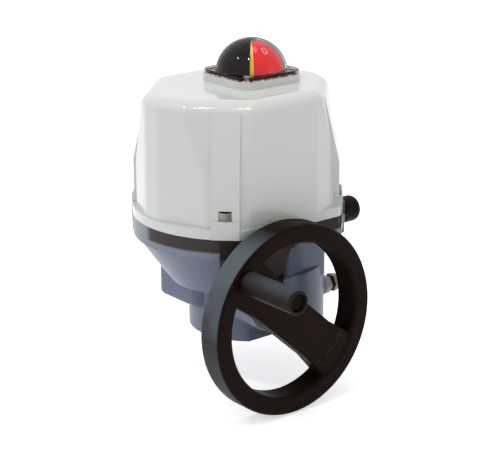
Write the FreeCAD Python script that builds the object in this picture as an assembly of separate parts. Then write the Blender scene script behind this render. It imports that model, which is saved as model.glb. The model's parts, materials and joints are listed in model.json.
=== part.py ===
import FreeCAD, Part
import math
import os

# Quarter-turn electric valve actuator, in millimetres.
# The origin is on the output axis, at the face that seats on the valve. +Z is up.
# The handwheel shaft leaves the housing along -Y, the cable glands leave it along +X.

V = FreeCAD.Vector
X_AXIS, Y_AXIS, Z_AXIS = V(1, 0, 0), V(0, 1, 0), V(0, 0, 1)
FRONT = V(0, -1, 0)

# Fits and clearances
RUN_FIT = 0.05        # radial clearance of a shaft in its bush
SEAT_GAP = 0.3        # gap between parts that pass or face each other closely
FREE_GAP = 1.5        # room round moving parts inside the housing

# Valve flange and gearbox column of the base housing
FLANGE_R = 62.5
COLUMN_TOP = 80.0
F07_PCD = 70.0
F07_HOLE_R = 4.25
F10_PCD = 102.0
F10_HOLE_R = 5.1
FLANGE_HOLE_DEPTH = 16.0
SPIGOT_R = 27.5
SPIGOT_DEPTH = 3.0
FOOT_FLAT_Y = 46.0    # the foot of the column is cut flat between its bolt pads
FOOT_FLAT_H = 13.0

# Output shaft
SOCKET_AF = 22.0      # star socket: two squares of this size, turned by 45 degrees
SOCKET_DEPTH = 32.0
HUB_R = 20.5
HUB_LOW = 0.5
HUB_TOP = 56.0
SPINDLE_R = 6.0
BUSH_WALL = 3.0
CHAMBER_R = 46.0
CHAMBER_FLOOR = 20.0
LID_R = 54.0
LID_T = 4.0
LID_SCREW_R = 50.0
LID_M_R = 2.5         # M5 screws
LID_THREAD = 5.0
LID_SCREW_ANGLES = (35.0, 100.0, 245.0, 325.0)

# Worm drive
CENTRE_DIST = 42.0    # from the output axis to the worm axis
WORM_Z = 40.5
WORM_MODULE = 1.75
WHEEL_TEETH = 38
WHEEL_WIDTH = 8.0
WORM_TURNS = 5
WORM_CLEAR = 0.5      # backlash of the worm wheel
WORM_SHAFT_R = 8.0
WORM_BEARING_R = 14.0
BEARING_W = 8.0
FRONT_BEARING_Y = -70.0
REAR_BEARING_Y = 52.0
SEAL_W = 5.0

# Body plan of the upper housing, centred on BODY_X
BODY_X = -18.0
RIM_R = 99.5
RIM_FLAT = 81.0
RIM_CORNER_R = 10.0
SEAM_Z = 116.0
RIM_BAND = 19.0
BOWL_FLOOR_Z = 52.0
BOWL_LOW_R = 66.0
BOWL_LOW_FLAT = 60.0
BASE_WALL = 5.0

# Flat front wall of the bowl beside the handwheel, and the round end-stop housing below it
WALL_Y = -67.5        # where the wall starts, in the middle of the body
WALL_END_X = 42.0
WALL_END_Y = -59.0
WALL_EDGE_R = 8.0
WALL_BACK_X = 52.0
WALL_BACK_Y = -37.0
STOP_HOUSE_R = 69.0
STOP_HOUSE_LOW = 4.0
STOP_HOUSE_TOP = 63.0

# Gearbox block beside the column, round the rear of the worm shaft
BLOCK_X = -69.0
BLOCK_Y = 66.0
BLOCK_FRONT_Y = -4.0
BLOCK_FLOOR_Z = 25.0
BLOCK_EDGE_R = 13.0

# Cover
COVER_WALL = 4.0
COVER_TOP_Z = 238.0
COVER_KINK_Z = 167.0
COVER_TOP_R = 14.0
LIP_H = 8.5
DRAFT = 2.5           # how much the straight faces lean in over the height
PILLAR_W = 26.0
PILLAR_FACE_R = 97.0
PILLAR_FOOT_R = 99.5
PILLAR_TOP_R = 83.0
PILLAR_TOP_DROP = 9.0
CHAMFER_LOW_R = 93.5
CHAMFER_TOP_R = 81.0
LEDGE_Z = 133.0
BOSS_HALF = 36.5
BOSS_CORNER_R = 15.0
BOSS_RISE = 7.0       # height of the boss above the top of the cover
SEAL_T = 1.5

# Cover screws, M8 socket heads
SCREW_RING_R = 92.5
M8_R = 4.0
M8_HEAD_R = 6.5
M8_HEAD_H = 8.0
SCREW_DEPTH = 14.0
POCKET_OVER = 1.2     # room above the head of a screw in its pocket

# Position indicator
DOME_SINK = 1.0       # how far the centre of the dome lies below the top of the boss
DOME_R = 34.3
DOME_WALL = 1.5
DOME_PLATE_T = 3.0
DOME_HALF = 35.5
MASK_GAP = 0.15
MASK_WALL = 1.2
ROTOR_GAP = 0.5
WINDOW_HALF = 42.0
MASK_CAP_R = 5.0      # the windows stop short of the top of the mask
SECTOR_START = -125.0
ROTOR_WALL = 2.0
DOME_SCREW_AT = 27.5
DOME_SCREW_R = 2.0
DOME_SEAL_T = 1.0

# Handwheel, its shaft on the worm axis
WHEEL_R = 90.0
WHEEL_RIM = 17.5
WHEEL_RIM_W = 26.0
WHEEL_FRONT_Y = -114.0
BAR_HALF = 20.0
BAR_FLARE = 5.0
BAR_BEND = 0.55       # the bar starts to widen at this share of the inner radius
BAR_T = 18.0
BAR_ANGLE = -42.0
WHEEL_HUB_R = 18.0
WHEEL_PIN_R = 2.5
WHEEL_PIN_Y = -86.0
BOSS_R = 20.0
BOSS_END_Y = -78.0
GRIP_R = 10.7
GRIP_LEN = 66.0
GRIP_AT = 73.0
GRIP_PIN_R = 4.0
GRIP_RECESS = 7.0     # depth of the recess round the head of the handle's pin

# Spur train from the gearmotor down to the worm shaft
GEAR_MODULE = 1.25
PINION_TEETH = 16
IDLER_TEETH = 32
GEAR_W = 8.0
GEAR_Y = 43.0
PLATE_Y = 38.0
PLATE_T = 4.0
AXLE_R = 3.0
MOTOR_R = 27.0
MOTOR_LEN = 78.0
MOTOR_CASE = 24.0     # length of the gear case at the front of the motor
MOTOR_SCREW_R = 2.0
MOTOR_SCREW_RING = 20.0
MOTOR_SCREW_ANGLES = (30, 90, 150)
# turns that put a tooth of a gear straight up or straight down; all tooth counts are even
TOOTH_UP = -90.0
TOOTH_DOWN = 90.0

# End stops, M10 bolts with lock nuts
STOP_Y = 34.0
STOP_Z = 30.0
M10_R = 5.0
M10_AF = 16.0
STOP_TIP_X = 31.5
STOP_NUT_X = 58.0
STOP_NUT_T = 8.0
STOP_HEAD_X = 70.5
STOP_HEAD_T = 6.4
STOP_ARM_R = 42.0
STOP_ARM_W = 16.0
STOP_ARM_T = 9.0

# Cable glands, M20
GLAND_Y = 32.0
GLAND_Z = 101.0
GLAND_R = 10.0
GLAND_BORE_R = 6.0
GLAND_AF = 24.0
GLAND_HEX_W = 6.0
GLAND_NECK = 8.0
GLAND_NUT_L = 19.0
GLAND_SPOT_R = 15.5   # faced seat round each gland
PAD_X = 78.0
EARTH_R = 2.5
EARTH_HEAD_R = 4.5

# Switch gear and electronics
CAM_R = 14.0
CAM_T = 7.0
CAM_PITCH = 9.0
CAM_COUNT = 4
CAM_Z = 178.0
SWITCH_X0 = 18.5
SWITCH_X1 = 27.0
FOOT_M_R = 1.5        # M3 screws of the bracket feet
BRACKET_FOOT_T = 3.0
BRACKET_X = 38.0
BOARD_X = 44.0
BOARD_T = 1.6
BOARD_LOW = 92.0
BOARD_TOP = 165.0
BOARD_HALF = 44.0


def cyl(radius, length, base, axis=Z_AXIS):
    return Part.makeCylinder(radius, length, base, axis)


def ring(outer, inner, length, base, axis=Z_AXIS):
    return cyl(outer, length, base, axis).cut(cyl(inner, length, base, axis))


def box(x0, x1, y0, y1, z0, z1):
    return Part.makeBox(x1 - x0, y1 - y0, z1 - z0, V(x0, y0, z0))


def fuse(shapes):
    whole = shapes[0]
    for shape in shapes[1:]:
        whole = whole.fuse(shape)
    return whole.removeSplitter()


def group(shapes):
    return Part.makeCompound(shapes)


def fillet_where(shape, radius, test):
    edges = [e for e in shape.Edges if test(e)]
    return shape.makeFillet(radius, edges) if edges else shape


def is_vertical(edge):
    a, b = edge.Vertexes[0].Point, edge.Vertexes[-1].Point
    return abs(a.x - b.x) < 1e-4 and abs(a.y - b.y) < 1e-4 and abs(a.z - b.z) > 1e-3


def hexagon(across_flats, length, base, axis):
    corner = across_flats / 2 / math.cos(math.pi / 6)
    points = [V(corner * math.cos(math.radians(60 * k + 30)),
                corner * math.sin(math.radians(60 * k + 30)), 0) for k in range(6)]
    prism = Part.Face(Part.makePolygon(points + points[:1])).extrude(V(0, 0, length))
    prism.Placement = FreeCAD.Placement(base, FreeCAD.Rotation(Z_AXIS, axis))
    return prism


def inset(points, distance):
    """Move every side of a convex outline inwards and meet the sides again."""
    moved = []
    count = len(points)
    for k in range(count):
        a, b, c = points[k - 1], points[k], points[(k + 1) % count]
        u, w = (b - a).normalize(), (c - b).normalize()
        n1, n2 = V(-u.y, u.x, 0), V(-w.y, w.x, 0)
        half = (n1 + n2).normalize()
        moved.append(b + half * (distance / half.dot(n1)))
    return moved


def rounded(points, radii, z):
    """Closed wire through the points, with an arc of the given radius at each."""
    edges = []
    count = len(points)
    starts, ends = [], []
    for k in range(count):
        a, b, c = points[k - 1], points[k], points[(k + 1) % count]
        u, w = (a - b).normalize(), (c - b).normalize()
        half = u.getAngle(w) / 2
        reach = radii[k] / math.tan(half)
        p, q = b + u * reach, b + w * reach
        middle = b + (u + w).normalize() * (radii[k] / math.sin(half) - radii[k])
        starts.append((p, middle, q))
        ends.append(q)
    lift = V(0, 0, z)
    for k in range(count):
        p, middle, q = starts[k]
        edges.append(Part.LineSegment(ends[k - 1] + lift, p + lift).toShape())
        edges.append(Part.Arc(p + lift, middle + lift, q + lift).toShape())
    return Part.Wire(edges)


def rim_wire(radius, flat, corner, z):
    """Round outline with flats on the handwheel side and the side behind it."""
    cy = flat - corner
    cx = math.sqrt((radius - corner) ** 2 - cy ** 2)
    k = radius / (radius - corner)
    turn = (math.pi / 2 + math.atan2(cy, cx)) / 2
    near, far = V(cx, flat, 0), V(cx * k, cy * k, 0)
    middle = V(cx + corner * math.cos(turn), cy + corner * math.sin(turn), 0)

    def at(p, sx, sy):
        return V(BODY_X + sx * p.x, sy * p.y, z)

    edges = []
    for sx, sy in ((1, 1), (-1, 1), (-1, -1), (1, -1)):
        first, last = (far, near) if sx * sy > 0 else (near, far)
        edges.append(Part.Arc(at(first, sx, sy), at(middle, sx, sy), at(last, sx, sy)).toShape())
        if sx * sy > 0:
            edges.append(Part.LineSegment(at(near, sx, sy), at(near, -sx, sy)).toShape())
        else:
            side = V(radius, 0, 0)
            edges.append(Part.Arc(at(far, sx, sy), at(side, sx, sy), at(far, sx, -sy)).toShape())
    return Part.Wire(Part.__sortEdges__(edges))


def rim_solid(shrink, z0, z1):
    wire = rim_wire(RIM_R - shrink, RIM_FLAT - shrink, RIM_CORNER_R, z0)
    return Part.Face(wire).extrude(V(0, 0, z1 - z0))


def diagonals():
    return [45 + 90 * k for k in range(4)]


def on_diagonal(angle, r, z):
    return V(BODY_X + r * math.cos(math.radians(angle)), r * math.sin(math.radians(angle)), z)


def rib(angle, profile, width):
    """Upright rib on a diagonal of the body, from points of radius and height."""
    points = [V(r, -width / 2, z) for r, z in profile]
    prism = Part.Face(Part.makePolygon(points + points[:1])).extrude(V(0, width, 0))
    prism.rotate(V(0, 0, 0), Z_AXIS, angle)
    prism.translate(V(BODY_X, 0, 0))
    return prism


def gear(teeth, module, width, bore, backlash=0.12):
    """Spur gear on +Z from z = 0, with straight-sided flanks near the involute."""
    pitch = teeth * module / 2
    pressure = math.radians(20)
    base = pitch * math.cos(pressure)
    tip, root = pitch + 0.95 * module, pitch - 1.2 * module
    half_tooth = math.pi / (2 * teeth) - backlash / (2 * pitch)
    involute = math.tan(pressure) - pressure

    def half_at(r):
        if r <= base:
            return half_tooth + involute
        angle = math.acos(base / r)
        return half_tooth + involute - (math.tan(angle) - angle)

    radii = [root, max(base, root + 0.2 * module), pitch, tip]
    points = []
    for k in range(teeth):
        centre = 2 * math.pi * k / teeth
        for r in radii:
            a = centre - half_at(r)
            points.append(V(r * math.cos(a), r * math.sin(a), 0))
        for r in reversed(radii):
            a = centre + half_at(r)
            points.append(V(r * math.cos(a), r * math.sin(a), 0))
    body = Part.Face(Part.makePolygon(points + points[:1])).extrude(V(0, 0, width))
    return body.cut(cyl(bore, width, V(0, 0, 0)))


def along_y(shape, x, y, z, turn=0.0):
    """Lay a part that was made on +Z along +Y, and move it to its axis."""
    placed = shape.copy()
    placed.rotate(V(0, 0, 0), Z_AXIS, turn)
    placed.rotate(V(0, 0, 0), X_AXIS, -90)
    placed.translate(V(x, y, z))
    return placed


BOSS_TOP_Z = COVER_TOP_Z + BOSS_RISE
DOME_Z = BOSS_TOP_Z - DOME_SINK
PILLAR_TOP_Z = COVER_TOP_Z - PILLAR_TOP_DROP
PLATE_Z = BOSS_TOP_Z + DOME_SEAL_T
MASK_OUTER = DOME_R - DOME_WALL - MASK_GAP
ROTOR_OUTER = MASK_OUTER - MASK_WALL - ROTOR_GAP
ROTOR_FLOOR_Z = BOSS_TOP_Z + 3.5
FLOOR_Z = BOWL_FLOOR_Z + 6.0
LID_TOP = FLOOR_Z + LID_T
BAND_Z = SEAM_Z - RIM_BAND
RIM_WALL = 6.0
BUSH_R = HUB_R + BUSH_WALL
GEAR_R = PINION_TEETH * GEAR_MODULE / 2
IDLER_R = IDLER_TEETH * GEAR_MODULE / 2
LOW_IDLER_Z = WORM_Z + GEAR_R + IDLER_R
HIGH_IDLER_Z = LOW_IDLER_Z + 2 * IDLER_R
MOTOR_Z = HIGH_IDLER_Z + IDLER_R + GEAR_R
WORM_X = -CENTRE_DIST
WHEEL_PITCH_R = WHEEL_TEETH * WORM_MODULE / 2
WORM_PITCH_R = CENTRE_DIST - WHEEL_PITCH_R
REAR_SHAFT_Y = REAR_BEARING_Y + BEARING_W
EARTH_X = BODY_X + RIM_R - 1.0
GEAR_SEAT_R = WORM_SHAFT_R - 1.5
WORM_CORE_R = WORM_PITCH_R - 1.25 * WORM_MODULE
WORM_TIP_R = WORM_PITCH_R + 0.85 * WORM_MODULE
WORM_LEAD = math.pi * WORM_MODULE
WORM_LEN = WORM_LEAD * WORM_TURNS

# places of the bracket screws on the lid, each with the thickness of the foot under its head
FOOT_SCREWS = [(WORM_X + 8, 26.0, PLATE_T), (WORM_X + 20, 26.0, PLATE_T),
               (SWITCH_X1 - 4, -8.0, BRACKET_FOOT_T), (SWITCH_X1 - 4, 8.0, BRACKET_FOOT_T),
               (BRACKET_X - 4, -18.0, BRACKET_FOOT_T), (BRACKET_X - 4, 18.0, BRACKET_FOOT_T)]

# half of the outline of the cover from above: the corners carry the pillars,
# the other points are the upright edges of the faces
COVER_OUTLINE = [("corner", -69.5, -80.0), ("edge", 30.0, -81.0),
                 ("corner", 74.0, -69.5), ("edge", 97.5, -14.0), ("edge", 97.5, 6.0)]


def bowl(shrink, z0, z1):
    low = rim_wire(BOWL_LOW_R - shrink, BOWL_LOW_FLAT - shrink, RIM_CORNER_R, z0)
    high = rim_wire(RIM_R - 1.5 - shrink, RIM_FLAT - 1.5 - shrink, RIM_CORNER_R, z1)
    return Part.makeLoft([low, high], True, True)


def gearbox_block():
    block = box(BLOCK_X, 0, BLOCK_FRONT_Y, BLOCK_Y, BLOCK_FLOOR_Z, COLUMN_TOP)

    def outer_corner(e):
        return is_vertical(e) and abs(e.Vertexes[0].Point.x - BLOCK_X) < 1e-3

    def outer_bottom(e):
        return all(abs(v.Point.z - BLOCK_FLOOR_Z) < 1e-3 for v in e.Vertexes) and e.BoundBox.XMax < -1

    return fillet_where(fillet_where(block, BLOCK_EDGE_R, outer_corner), 5.0, outer_bottom)


def front_recess(wall, z0, z1):
    """Room in front of the flat front wall, grown by the thickness of that wall."""
    slope = (WALL_END_Y - WALL_Y) / (WALL_END_X - BODY_X)
    lift = wall * math.hypot(1, slope)
    left = BODY_X - wall
    points = [V(left, -RIM_R, z0), V(RIM_R, -RIM_R, z0),
              V(RIM_R, WALL_Y + slope * (RIM_R - BODY_X) + lift, z0),
              V(left, WALL_Y - slope * wall + lift, z0)]
    return Part.Face(Part.makePolygon(points + points[:1])).extrude(V(0, 0, z1 - z0))


def front_wall():
    points = [V(BODY_X, WALL_Y, 0), V(WALL_END_X, WALL_END_Y, 0), V(WALL_BACK_X, WALL_BACK_Y, 0),
              V(WALL_BACK_X, 0, 0), V(BODY_X, 0, 0)]
    block = Part.Face(Part.makePolygon(points + points[:1])).extrude(V(0, 0, BAND_Z - BOWL_FLOOR_Z))
    block.translate(V(0, 0, BOWL_FLOOR_Z))
    return fillet_where(block, WALL_EDGE_R, lambda e: is_vertical(e)
                        and abs(e.Vertexes[0].Point.y - WALL_END_Y) < 1e-3)


def stop_housing():
    """Round housing of the two end-stop bolts, cut flat where their lock nuts sit."""
    height = STOP_HOUSE_TOP - STOP_HOUSE_LOW
    house = cyl(STOP_HOUSE_R, height, V(0, 0, STOP_HOUSE_LOW))
    return house.common(box(BODY_X, STOP_NUT_X, -STOP_HOUSE_R, STOP_HOUSE_R, STOP_HOUSE_LOW, STOP_HOUSE_TOP))


def base_housing():
    column = cyl(FLANGE_R, COLUMN_TOP, V(0, 0, 0))
    for side in (-1, 1):
        y0, y1 = sorted((side * FOOT_FLAT_Y, side * (FLANGE_R + 1)))
        column = column.cut(box(-FLANGE_R, FLANGE_R, y0, y1, -1, FOOT_FLAT_H))
    boss = cyl(BOSS_R, -BOSS_END_Y - FLANGE_R / 2, V(WORM_X, BOSS_END_Y, WORM_Z), Y_AXIS)
    boss = boss.makeFillet(3.0, [e for e in boss.Edges if abs(e.BoundBox.YMax - BOSS_END_Y) < 1e-3])
    pad = box(BODY_X + 60, PAD_X, -GLAND_Y - 18, GLAND_Y + 18, GLAND_Z - 16, SEAM_Z)
    pad = fillet_where(pad, 7.0, lambda e: is_vertical(e) and abs(e.Vertexes[0].Point.x - PAD_X) < 1e-3)
    outer_bowl = bowl(0, BOWL_FLOOR_Z, BAND_Z).cut(front_recess(0, BOWL_FLOOR_Z - 1, BAND_Z))
    shapes = [column, stop_housing(), gearbox_block(), boss, pad, outer_bowl, front_wall(),
              rim_solid(0, BAND_Z, SEAM_Z)]
    for angle in diagonals():
        foot = [(80, BAND_Z), (PILLAR_FOOT_R, BAND_Z), (PILLAR_FOOT_R, SEAM_Z), (80, SEAM_Z)]
        shapes.append(rib(angle, foot, PILLAR_W))
    for side in (-1, 1):
        shapes.append(cyl(M10_R * 2, 18, V(40, side * STOP_Y, STOP_Z), X_AXIS))
    body = fuse(shapes)

    shaft_hole = WORM_SHAFT_R + FREE_GAP
    kept = front_recess(BASE_WALL, FLOOR_Z - 1, BAND_Z + BASE_WALL)
    cuts = [
        bowl(BASE_WALL, FLOOR_Z, BAND_Z).cut(kept),
        rim_solid(RIM_WALL, BAND_Z - 0.01, SEAM_Z + 1).cut(kept),
        cyl(LID_R + SEAT_GAP, COLUMN_TOP - FLOOR_Z, V(0, 0, FLOOR_Z)),
        cyl(CHAMBER_R, FLOOR_Z - CHAMBER_FLOOR, V(0, 0, CHAMBER_FLOOR)),
        cyl(BUSH_R, CHAMBER_FLOOR + 1, V(0, 0, -1)),
        cyl(SPIGOT_R, SPIGOT_DEPTH + 1, V(0, 0, -1)),
        cyl(WORM_BEARING_R, REAR_SHAFT_Y - FRONT_BEARING_Y, V(WORM_X, FRONT_BEARING_Y, WORM_Z), Y_AXIS),
        cyl(shaft_hole, 20, V(WORM_X, BOSS_END_Y - 1, WORM_Z), Y_AXIS),
        cyl(WORM_SHAFT_R + 4, SEAL_W + 1, V(WORM_X, BOSS_END_Y - 1, WORM_Z), Y_AXIS),
        box(WORM_X - IDLER_R - 3, WORM_X + IDLER_R + 3, PLATE_Y + PLATE_T, REAR_BEARING_Y,
            WORM_Z, BAND_Z),
    ]
    for side in (-1, 1):
        cuts.append(cyl(M10_R, 40, V(25, side * STOP_Y, STOP_Z), X_AXIS))
        cuts.append(cyl(GLAND_R, 30, V(PAD_X - 29, side * GLAND_Y, GLAND_Z), X_AXIS))
        cuts.append(cyl(GLAND_SPOT_R, 20, V(PAD_X, side * GLAND_Y, GLAND_Z), X_AXIS))
    cuts.append(cyl(EARTH_R, 20, V(EARTH_X - 19, 0, GLAND_Z), X_AXIS))
    cuts.append(cyl(EARTH_HEAD_R + 1.5, 20, V(EARTH_X, 0, GLAND_Z), X_AXIS))
    for angle in diagonals():
        a = math.radians(angle)
        for pcd, hole in ((F07_PCD, F07_HOLE_R), (F10_PCD, F10_HOLE_R)):
            mouth = V(pcd / 2 * math.cos(a), pcd / 2 * math.sin(a), -1)
            cuts.append(cyl(hole, FLANGE_HOLE_DEPTH + 1, mouth))
    for cut in cuts:
        body = body.cut(cut)

    for angle in diagonals():
        screw_boss = cyl(M8_R + 6, RIM_BAND, on_diagonal(angle, SCREW_RING_R - 3, BAND_Z))
        body = body.fuse(screw_boss)
    for angle in diagonals():
        body = body.cut(cyl(M8_R, SCREW_DEPTH + 1, on_diagonal(angle, SCREW_RING_R, SEAM_Z - SCREW_DEPTH)))
    for x, y in lid_screw_points():
        body = body.cut(cyl(LID_M_R, LID_THREAD + 1, V(x, y, FLOOR_Z - LID_THREAD)))
    return body.cut(seal_ring(0.0)).removeSplitter()


def lid_screw_points():
    return [(LID_SCREW_R * math.cos(math.radians(a)), LID_SCREW_R * math.sin(math.radians(a)))
            for a in LID_SCREW_ANGLES]


def seal_ring(slack):
    outer = rim_solid(1.5 + slack, SEAM_Z - SEAL_T, SEAM_Z)
    return outer.cut(rim_solid(4.5 - slack, SEAM_Z - SEAL_T - 1, SEAM_Z + 1))


def cover_seal():
    seal = seal_ring(RUN_FIT)
    for angle in diagonals():
        below = on_diagonal(angle, SCREW_RING_R, SEAM_Z - 1.5 * SEAL_T)
        seal = seal.cut(cyl(M8_R + SEAT_GAP, 2 * SEAL_T, below))
    return seal


def cover_points(shrink, chamfer_r):
    half = COVER_OUTLINE + [(kind, -x, -y) for kind, x, y in COVER_OUTLINE]
    kinds = [kind for kind, x, y in half]
    points = inset([V(x, y, 0) for kind, x, y in half], shrink)
    result, radii = [], []
    for k, point in enumerate(points):
        if kinds[k] == "edge":
            result.append(point)
            radii.append(20.0 - shrink)
            continue
        away = V(math.copysign(1, point.x), math.copysign(1, point.y), 0).normalize()
        before, after = points[k - 1], points[(k + 1) % len(points)]
        for other in (before, after):
            share = (chamfer_r - other.dot(away)) / (point.dot(away) - other.dot(away))
            result.append(other + (point - other) * share)
            radii.append(18.0 - shrink)
    return [p + V(BODY_X, 0, 0) for p in result], radii


def cover_form(shrink, bottom, top, top_radius):
    sections = []
    for z, chamfer_r in ((bottom, CHAMFER_LOW_R), (COVER_KINK_Z, CHAMFER_LOW_R), (top, CHAMFER_TOP_R)):
        lean = DRAFT * (z - SEAM_Z) / (COVER_TOP_Z - SEAM_Z)
        points, radii = cover_points(shrink + lean, chamfer_r - shrink)
        sections.append(rounded(points, radii, z))
    form = Part.makeLoft(sections, True, True)
    return fillet_where(form, top_radius, lambda e: all(abs(v.Point.z - top) < 1e-3 for v in e.Vertexes))


def square_boss(half, corner, z0, z1):
    points = [V(-half, -half, 0), V(half, -half, 0), V(half, half, 0), V(-half, half, 0)]
    return Part.Face(rounded(points, [corner] * 4, z0)).extrude(V(0, 0, z1 - z0))


def cover():
    shapes = [cover_form(0.0, SEAM_Z, COVER_TOP_Z, COVER_TOP_R),
              rim_solid(0, SEAM_Z, SEAM_Z + LIP_H),
              square_boss(BOSS_HALF, BOSS_CORNER_R, COVER_TOP_Z - 6, BOSS_TOP_Z)]
    for angle in diagonals():
        face = [(CHAMFER_LOW_R - 3, SEAM_Z), (PILLAR_FACE_R, SEAM_Z), (PILLAR_FACE_R, COVER_KINK_Z),
                (PILLAR_TOP_R, PILLAR_TOP_Z), (PILLAR_TOP_R - 5, PILLAR_TOP_Z),
                (CHAMFER_LOW_R - 3, COVER_KINK_Z)]
        foot = [(CHAMFER_LOW_R - 3, SEAM_Z), (PILLAR_FOOT_R, SEAM_Z), (PILLAR_FOOT_R, LEDGE_Z),
                (CHAMFER_LOW_R - 3, LEDGE_Z)]
        shapes += [rib(angle, face, PILLAR_W), rib(angle, foot, PILLAR_W)]
    body = fuse(shapes)
    hollow = cover_form(COVER_WALL, SEAM_Z - 0.01, COVER_TOP_Z - COVER_WALL, COVER_TOP_R - COVER_WALL)
    body = body.cut(hollow)
    for angle in diagonals():
        body = body.fuse(cyl(M8_R + 5, LEDGE_Z - SEAM_Z, on_diagonal(angle, SCREW_RING_R - 2, SEAM_Z)))
    for angle in diagonals():
        hole_foot = on_diagonal(angle, SCREW_RING_R, SEAM_Z - 1)
        body = body.cut(cyl(M8_R + SEAT_GAP, LEDGE_Z - SEAM_Z + 1, hole_foot))
        ledge = on_diagonal(angle, SCREW_RING_R, LEDGE_Z)
        body = body.cut(cyl(M8_HEAD_R + 1, M8_HEAD_H + POCKET_OVER, ledge))
    body = body.cut(cyl(SPINDLE_R + BUSH_WALL, 20, V(0, 0, BOSS_TOP_Z - 19)))
    for x, y in corners(DOME_SCREW_AT):
        body = body.cut(cyl(DOME_SCREW_R, 9, V(x, y, BOSS_TOP_Z - 8)))
    return body.removeSplitter()


def corners(at):
    return [(at, at), (-at, at), (-at, -at), (at, -at)]


def cover_screws():
    screws = []
    for angle in diagonals():
        head = cyl(M8_HEAD_R, M8_HEAD_H, on_diagonal(angle, SCREW_RING_R, LEDGE_Z))
        socket = hexagon(6.0, 5.0, on_diagonal(angle, SCREW_RING_R, LEDGE_Z + M8_HEAD_H - 4.5), Z_AXIS)
        length = LEDGE_Z - SEAM_Z + SCREW_DEPTH - 2
        shank = cyl(M8_R - RUN_FIT, length, on_diagonal(angle, SCREW_RING_R, LEDGE_Z - length))
        screws.append(head.cut(socket).fuse(shank))
    return group(screws)


def shell(outer, inner, floor_z):
    ball = Part.makeSphere(outer, V(0, 0, DOME_Z)).cut(Part.makeSphere(inner, V(0, 0, DOME_Z)))
    return ball.cut(box(-outer - 1, outer + 1, -outer - 1, outer + 1, DOME_Z - outer - 1, floor_z))


def wedge(start, sweep, z0, z1, radius=60.0):
    sector = Part.makeCylinder(radius, z1 - z0, V(0, 0, z0), Z_AXIS, sweep)
    sector.rotate(V(0, 0, 0), Z_AXIS, start)
    return sector


def indicator_dome():
    plate = square_boss(DOME_HALF, BOSS_CORNER_R - 1, PLATE_Z, PLATE_Z + DOME_PLATE_T)
    plate = fillet_where(plate, 0.8, lambda e: all(abs(v.Point.z - PLATE_Z - DOME_PLATE_T) < 1e-3
                                                  for v in e.Vertexes))
    dome = plate.fuse(shell(DOME_R, DOME_R - DOME_WALL, PLATE_Z))
    dome = dome.cut(Part.makeSphere(DOME_R - DOME_WALL, V(0, 0, DOME_Z)))
    for x, y in corners(DOME_SCREW_AT):
        dome = dome.cut(cyl(DOME_SCREW_R + SEAT_GAP, 10, V(x, y, PLATE_Z - 1)))
    return dome.removeSplitter()


def dome_seal():
    seal = square_boss(DOME_HALF, BOSS_CORNER_R - 1, BOSS_TOP_Z, PLATE_Z)
    seal = seal.cut(cyl(DOME_R - DOME_WALL, 5, V(0, 0, BOSS_TOP_Z - 1)))
    for x, y in corners(DOME_SCREW_AT):
        seal = seal.cut(cyl(DOME_SCREW_R + SEAT_GAP, 5, V(x, y, BOSS_TOP_Z - 1)))
    return seal


def dome_screws():
    screws = []
    for x, y in corners(DOME_SCREW_AT):
        head = cyl(3.5, 2.4, V(x, y, PLATE_Z + DOME_PLATE_T))
        head = head.makeFillet(0.9, [e for e in head.Edges if e.BoundBox.ZMin > PLATE_Z + DOME_PLATE_T + 1])
        screws.append(head.fuse(cyl(DOME_SCREW_R - RUN_FIT, 10, V(x, y, PLATE_Z + DOME_PLATE_T - 10))))
    return group(screws)


def indicator_mask():
    mask = shell(MASK_OUTER, MASK_OUTER - MASK_WALL, BOSS_TOP_Z)
    for centre in (-90.0, 90.0):
        window = wedge(centre - WINDOW_HALF, 2 * WINDOW_HALF, ROTOR_FLOOR_Z, DOME_Z + DOME_R)
        mask = mask.cut(window.cut(cyl(MASK_CAP_R, 2 * DOME_R, V(0, 0, BOSS_TOP_Z))))
    return mask


def indicator_sectors(first):
    """Two opposite coloured quarters of the turning indicator."""
    whole = shell(ROTOR_OUTER, ROTOR_OUTER - ROTOR_WALL, ROTOR_FLOOR_Z)
    whole = whole.fuse(ring(ROTOR_OUTER - ROTOR_WALL, SPINDLE_R + 3, ROTOR_WALL, V(0, 0, ROTOR_FLOOR_Z)))
    quarters = []
    for start in (first, first + 180.0):
        quarters.append(whole.common(wedge(start, 90.0, ROTOR_FLOOR_Z - 1, DOME_Z + DOME_R)))
    return group(quarters)


def indicator_hub():
    hub = cyl(SPINDLE_R + 3, 9, V(0, 0, ROTOR_FLOOR_Z - 1))
    hub = hub.fuse(cyl(SPINDLE_R + 6, 1, V(0, 0, ROTOR_FLOOR_Z - 1)))
    return hub.cut(cyl(SPINDLE_R - 1 + RUN_FIT, 30, V(0, 0, ROTOR_FLOOR_Z - 20)))


def star_prism(across, z0, z1):
    square = box(-across / 2, across / 2, -across / 2, across / 2, z0, z1)
    turned = square.copy()
    turned.rotate(V(0, 0, 0), Z_AXIS, 45)
    return square.fuse(turned)


def output_shaft():
    shaft = cyl(HUB_R - RUN_FIT, HUB_TOP - HUB_LOW, V(0, 0, HUB_LOW))
    shaft = shaft.fuse(cyl(SPINDLE_R + 4, LID_TOP + 4 - HUB_TOP, V(0, 0, HUB_TOP)))
    shaft = shaft.fuse(cyl(SPINDLE_R, ROTOR_FLOOR_Z - 1 - LID_TOP, V(0, 0, LID_TOP)))
    shaft = shaft.fuse(cyl(SPINDLE_R - 1, 9, V(0, 0, ROTOR_FLOOR_Z - 1)))
    return shaft.cut(star_prism(SOCKET_AF, HUB_LOW - 1, HUB_LOW + SOCKET_DEPTH)).removeSplitter()


def lower_bush():
    return ring(BUSH_R, HUB_R, CHAMBER_FLOOR - SPIGOT_DEPTH - 4, V(0, 0, SPIGOT_DEPTH + 4))


def output_seal():
    return ring(BUSH_R, HUB_R, 4.0, V(0, 0, SPIGOT_DEPTH))


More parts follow.
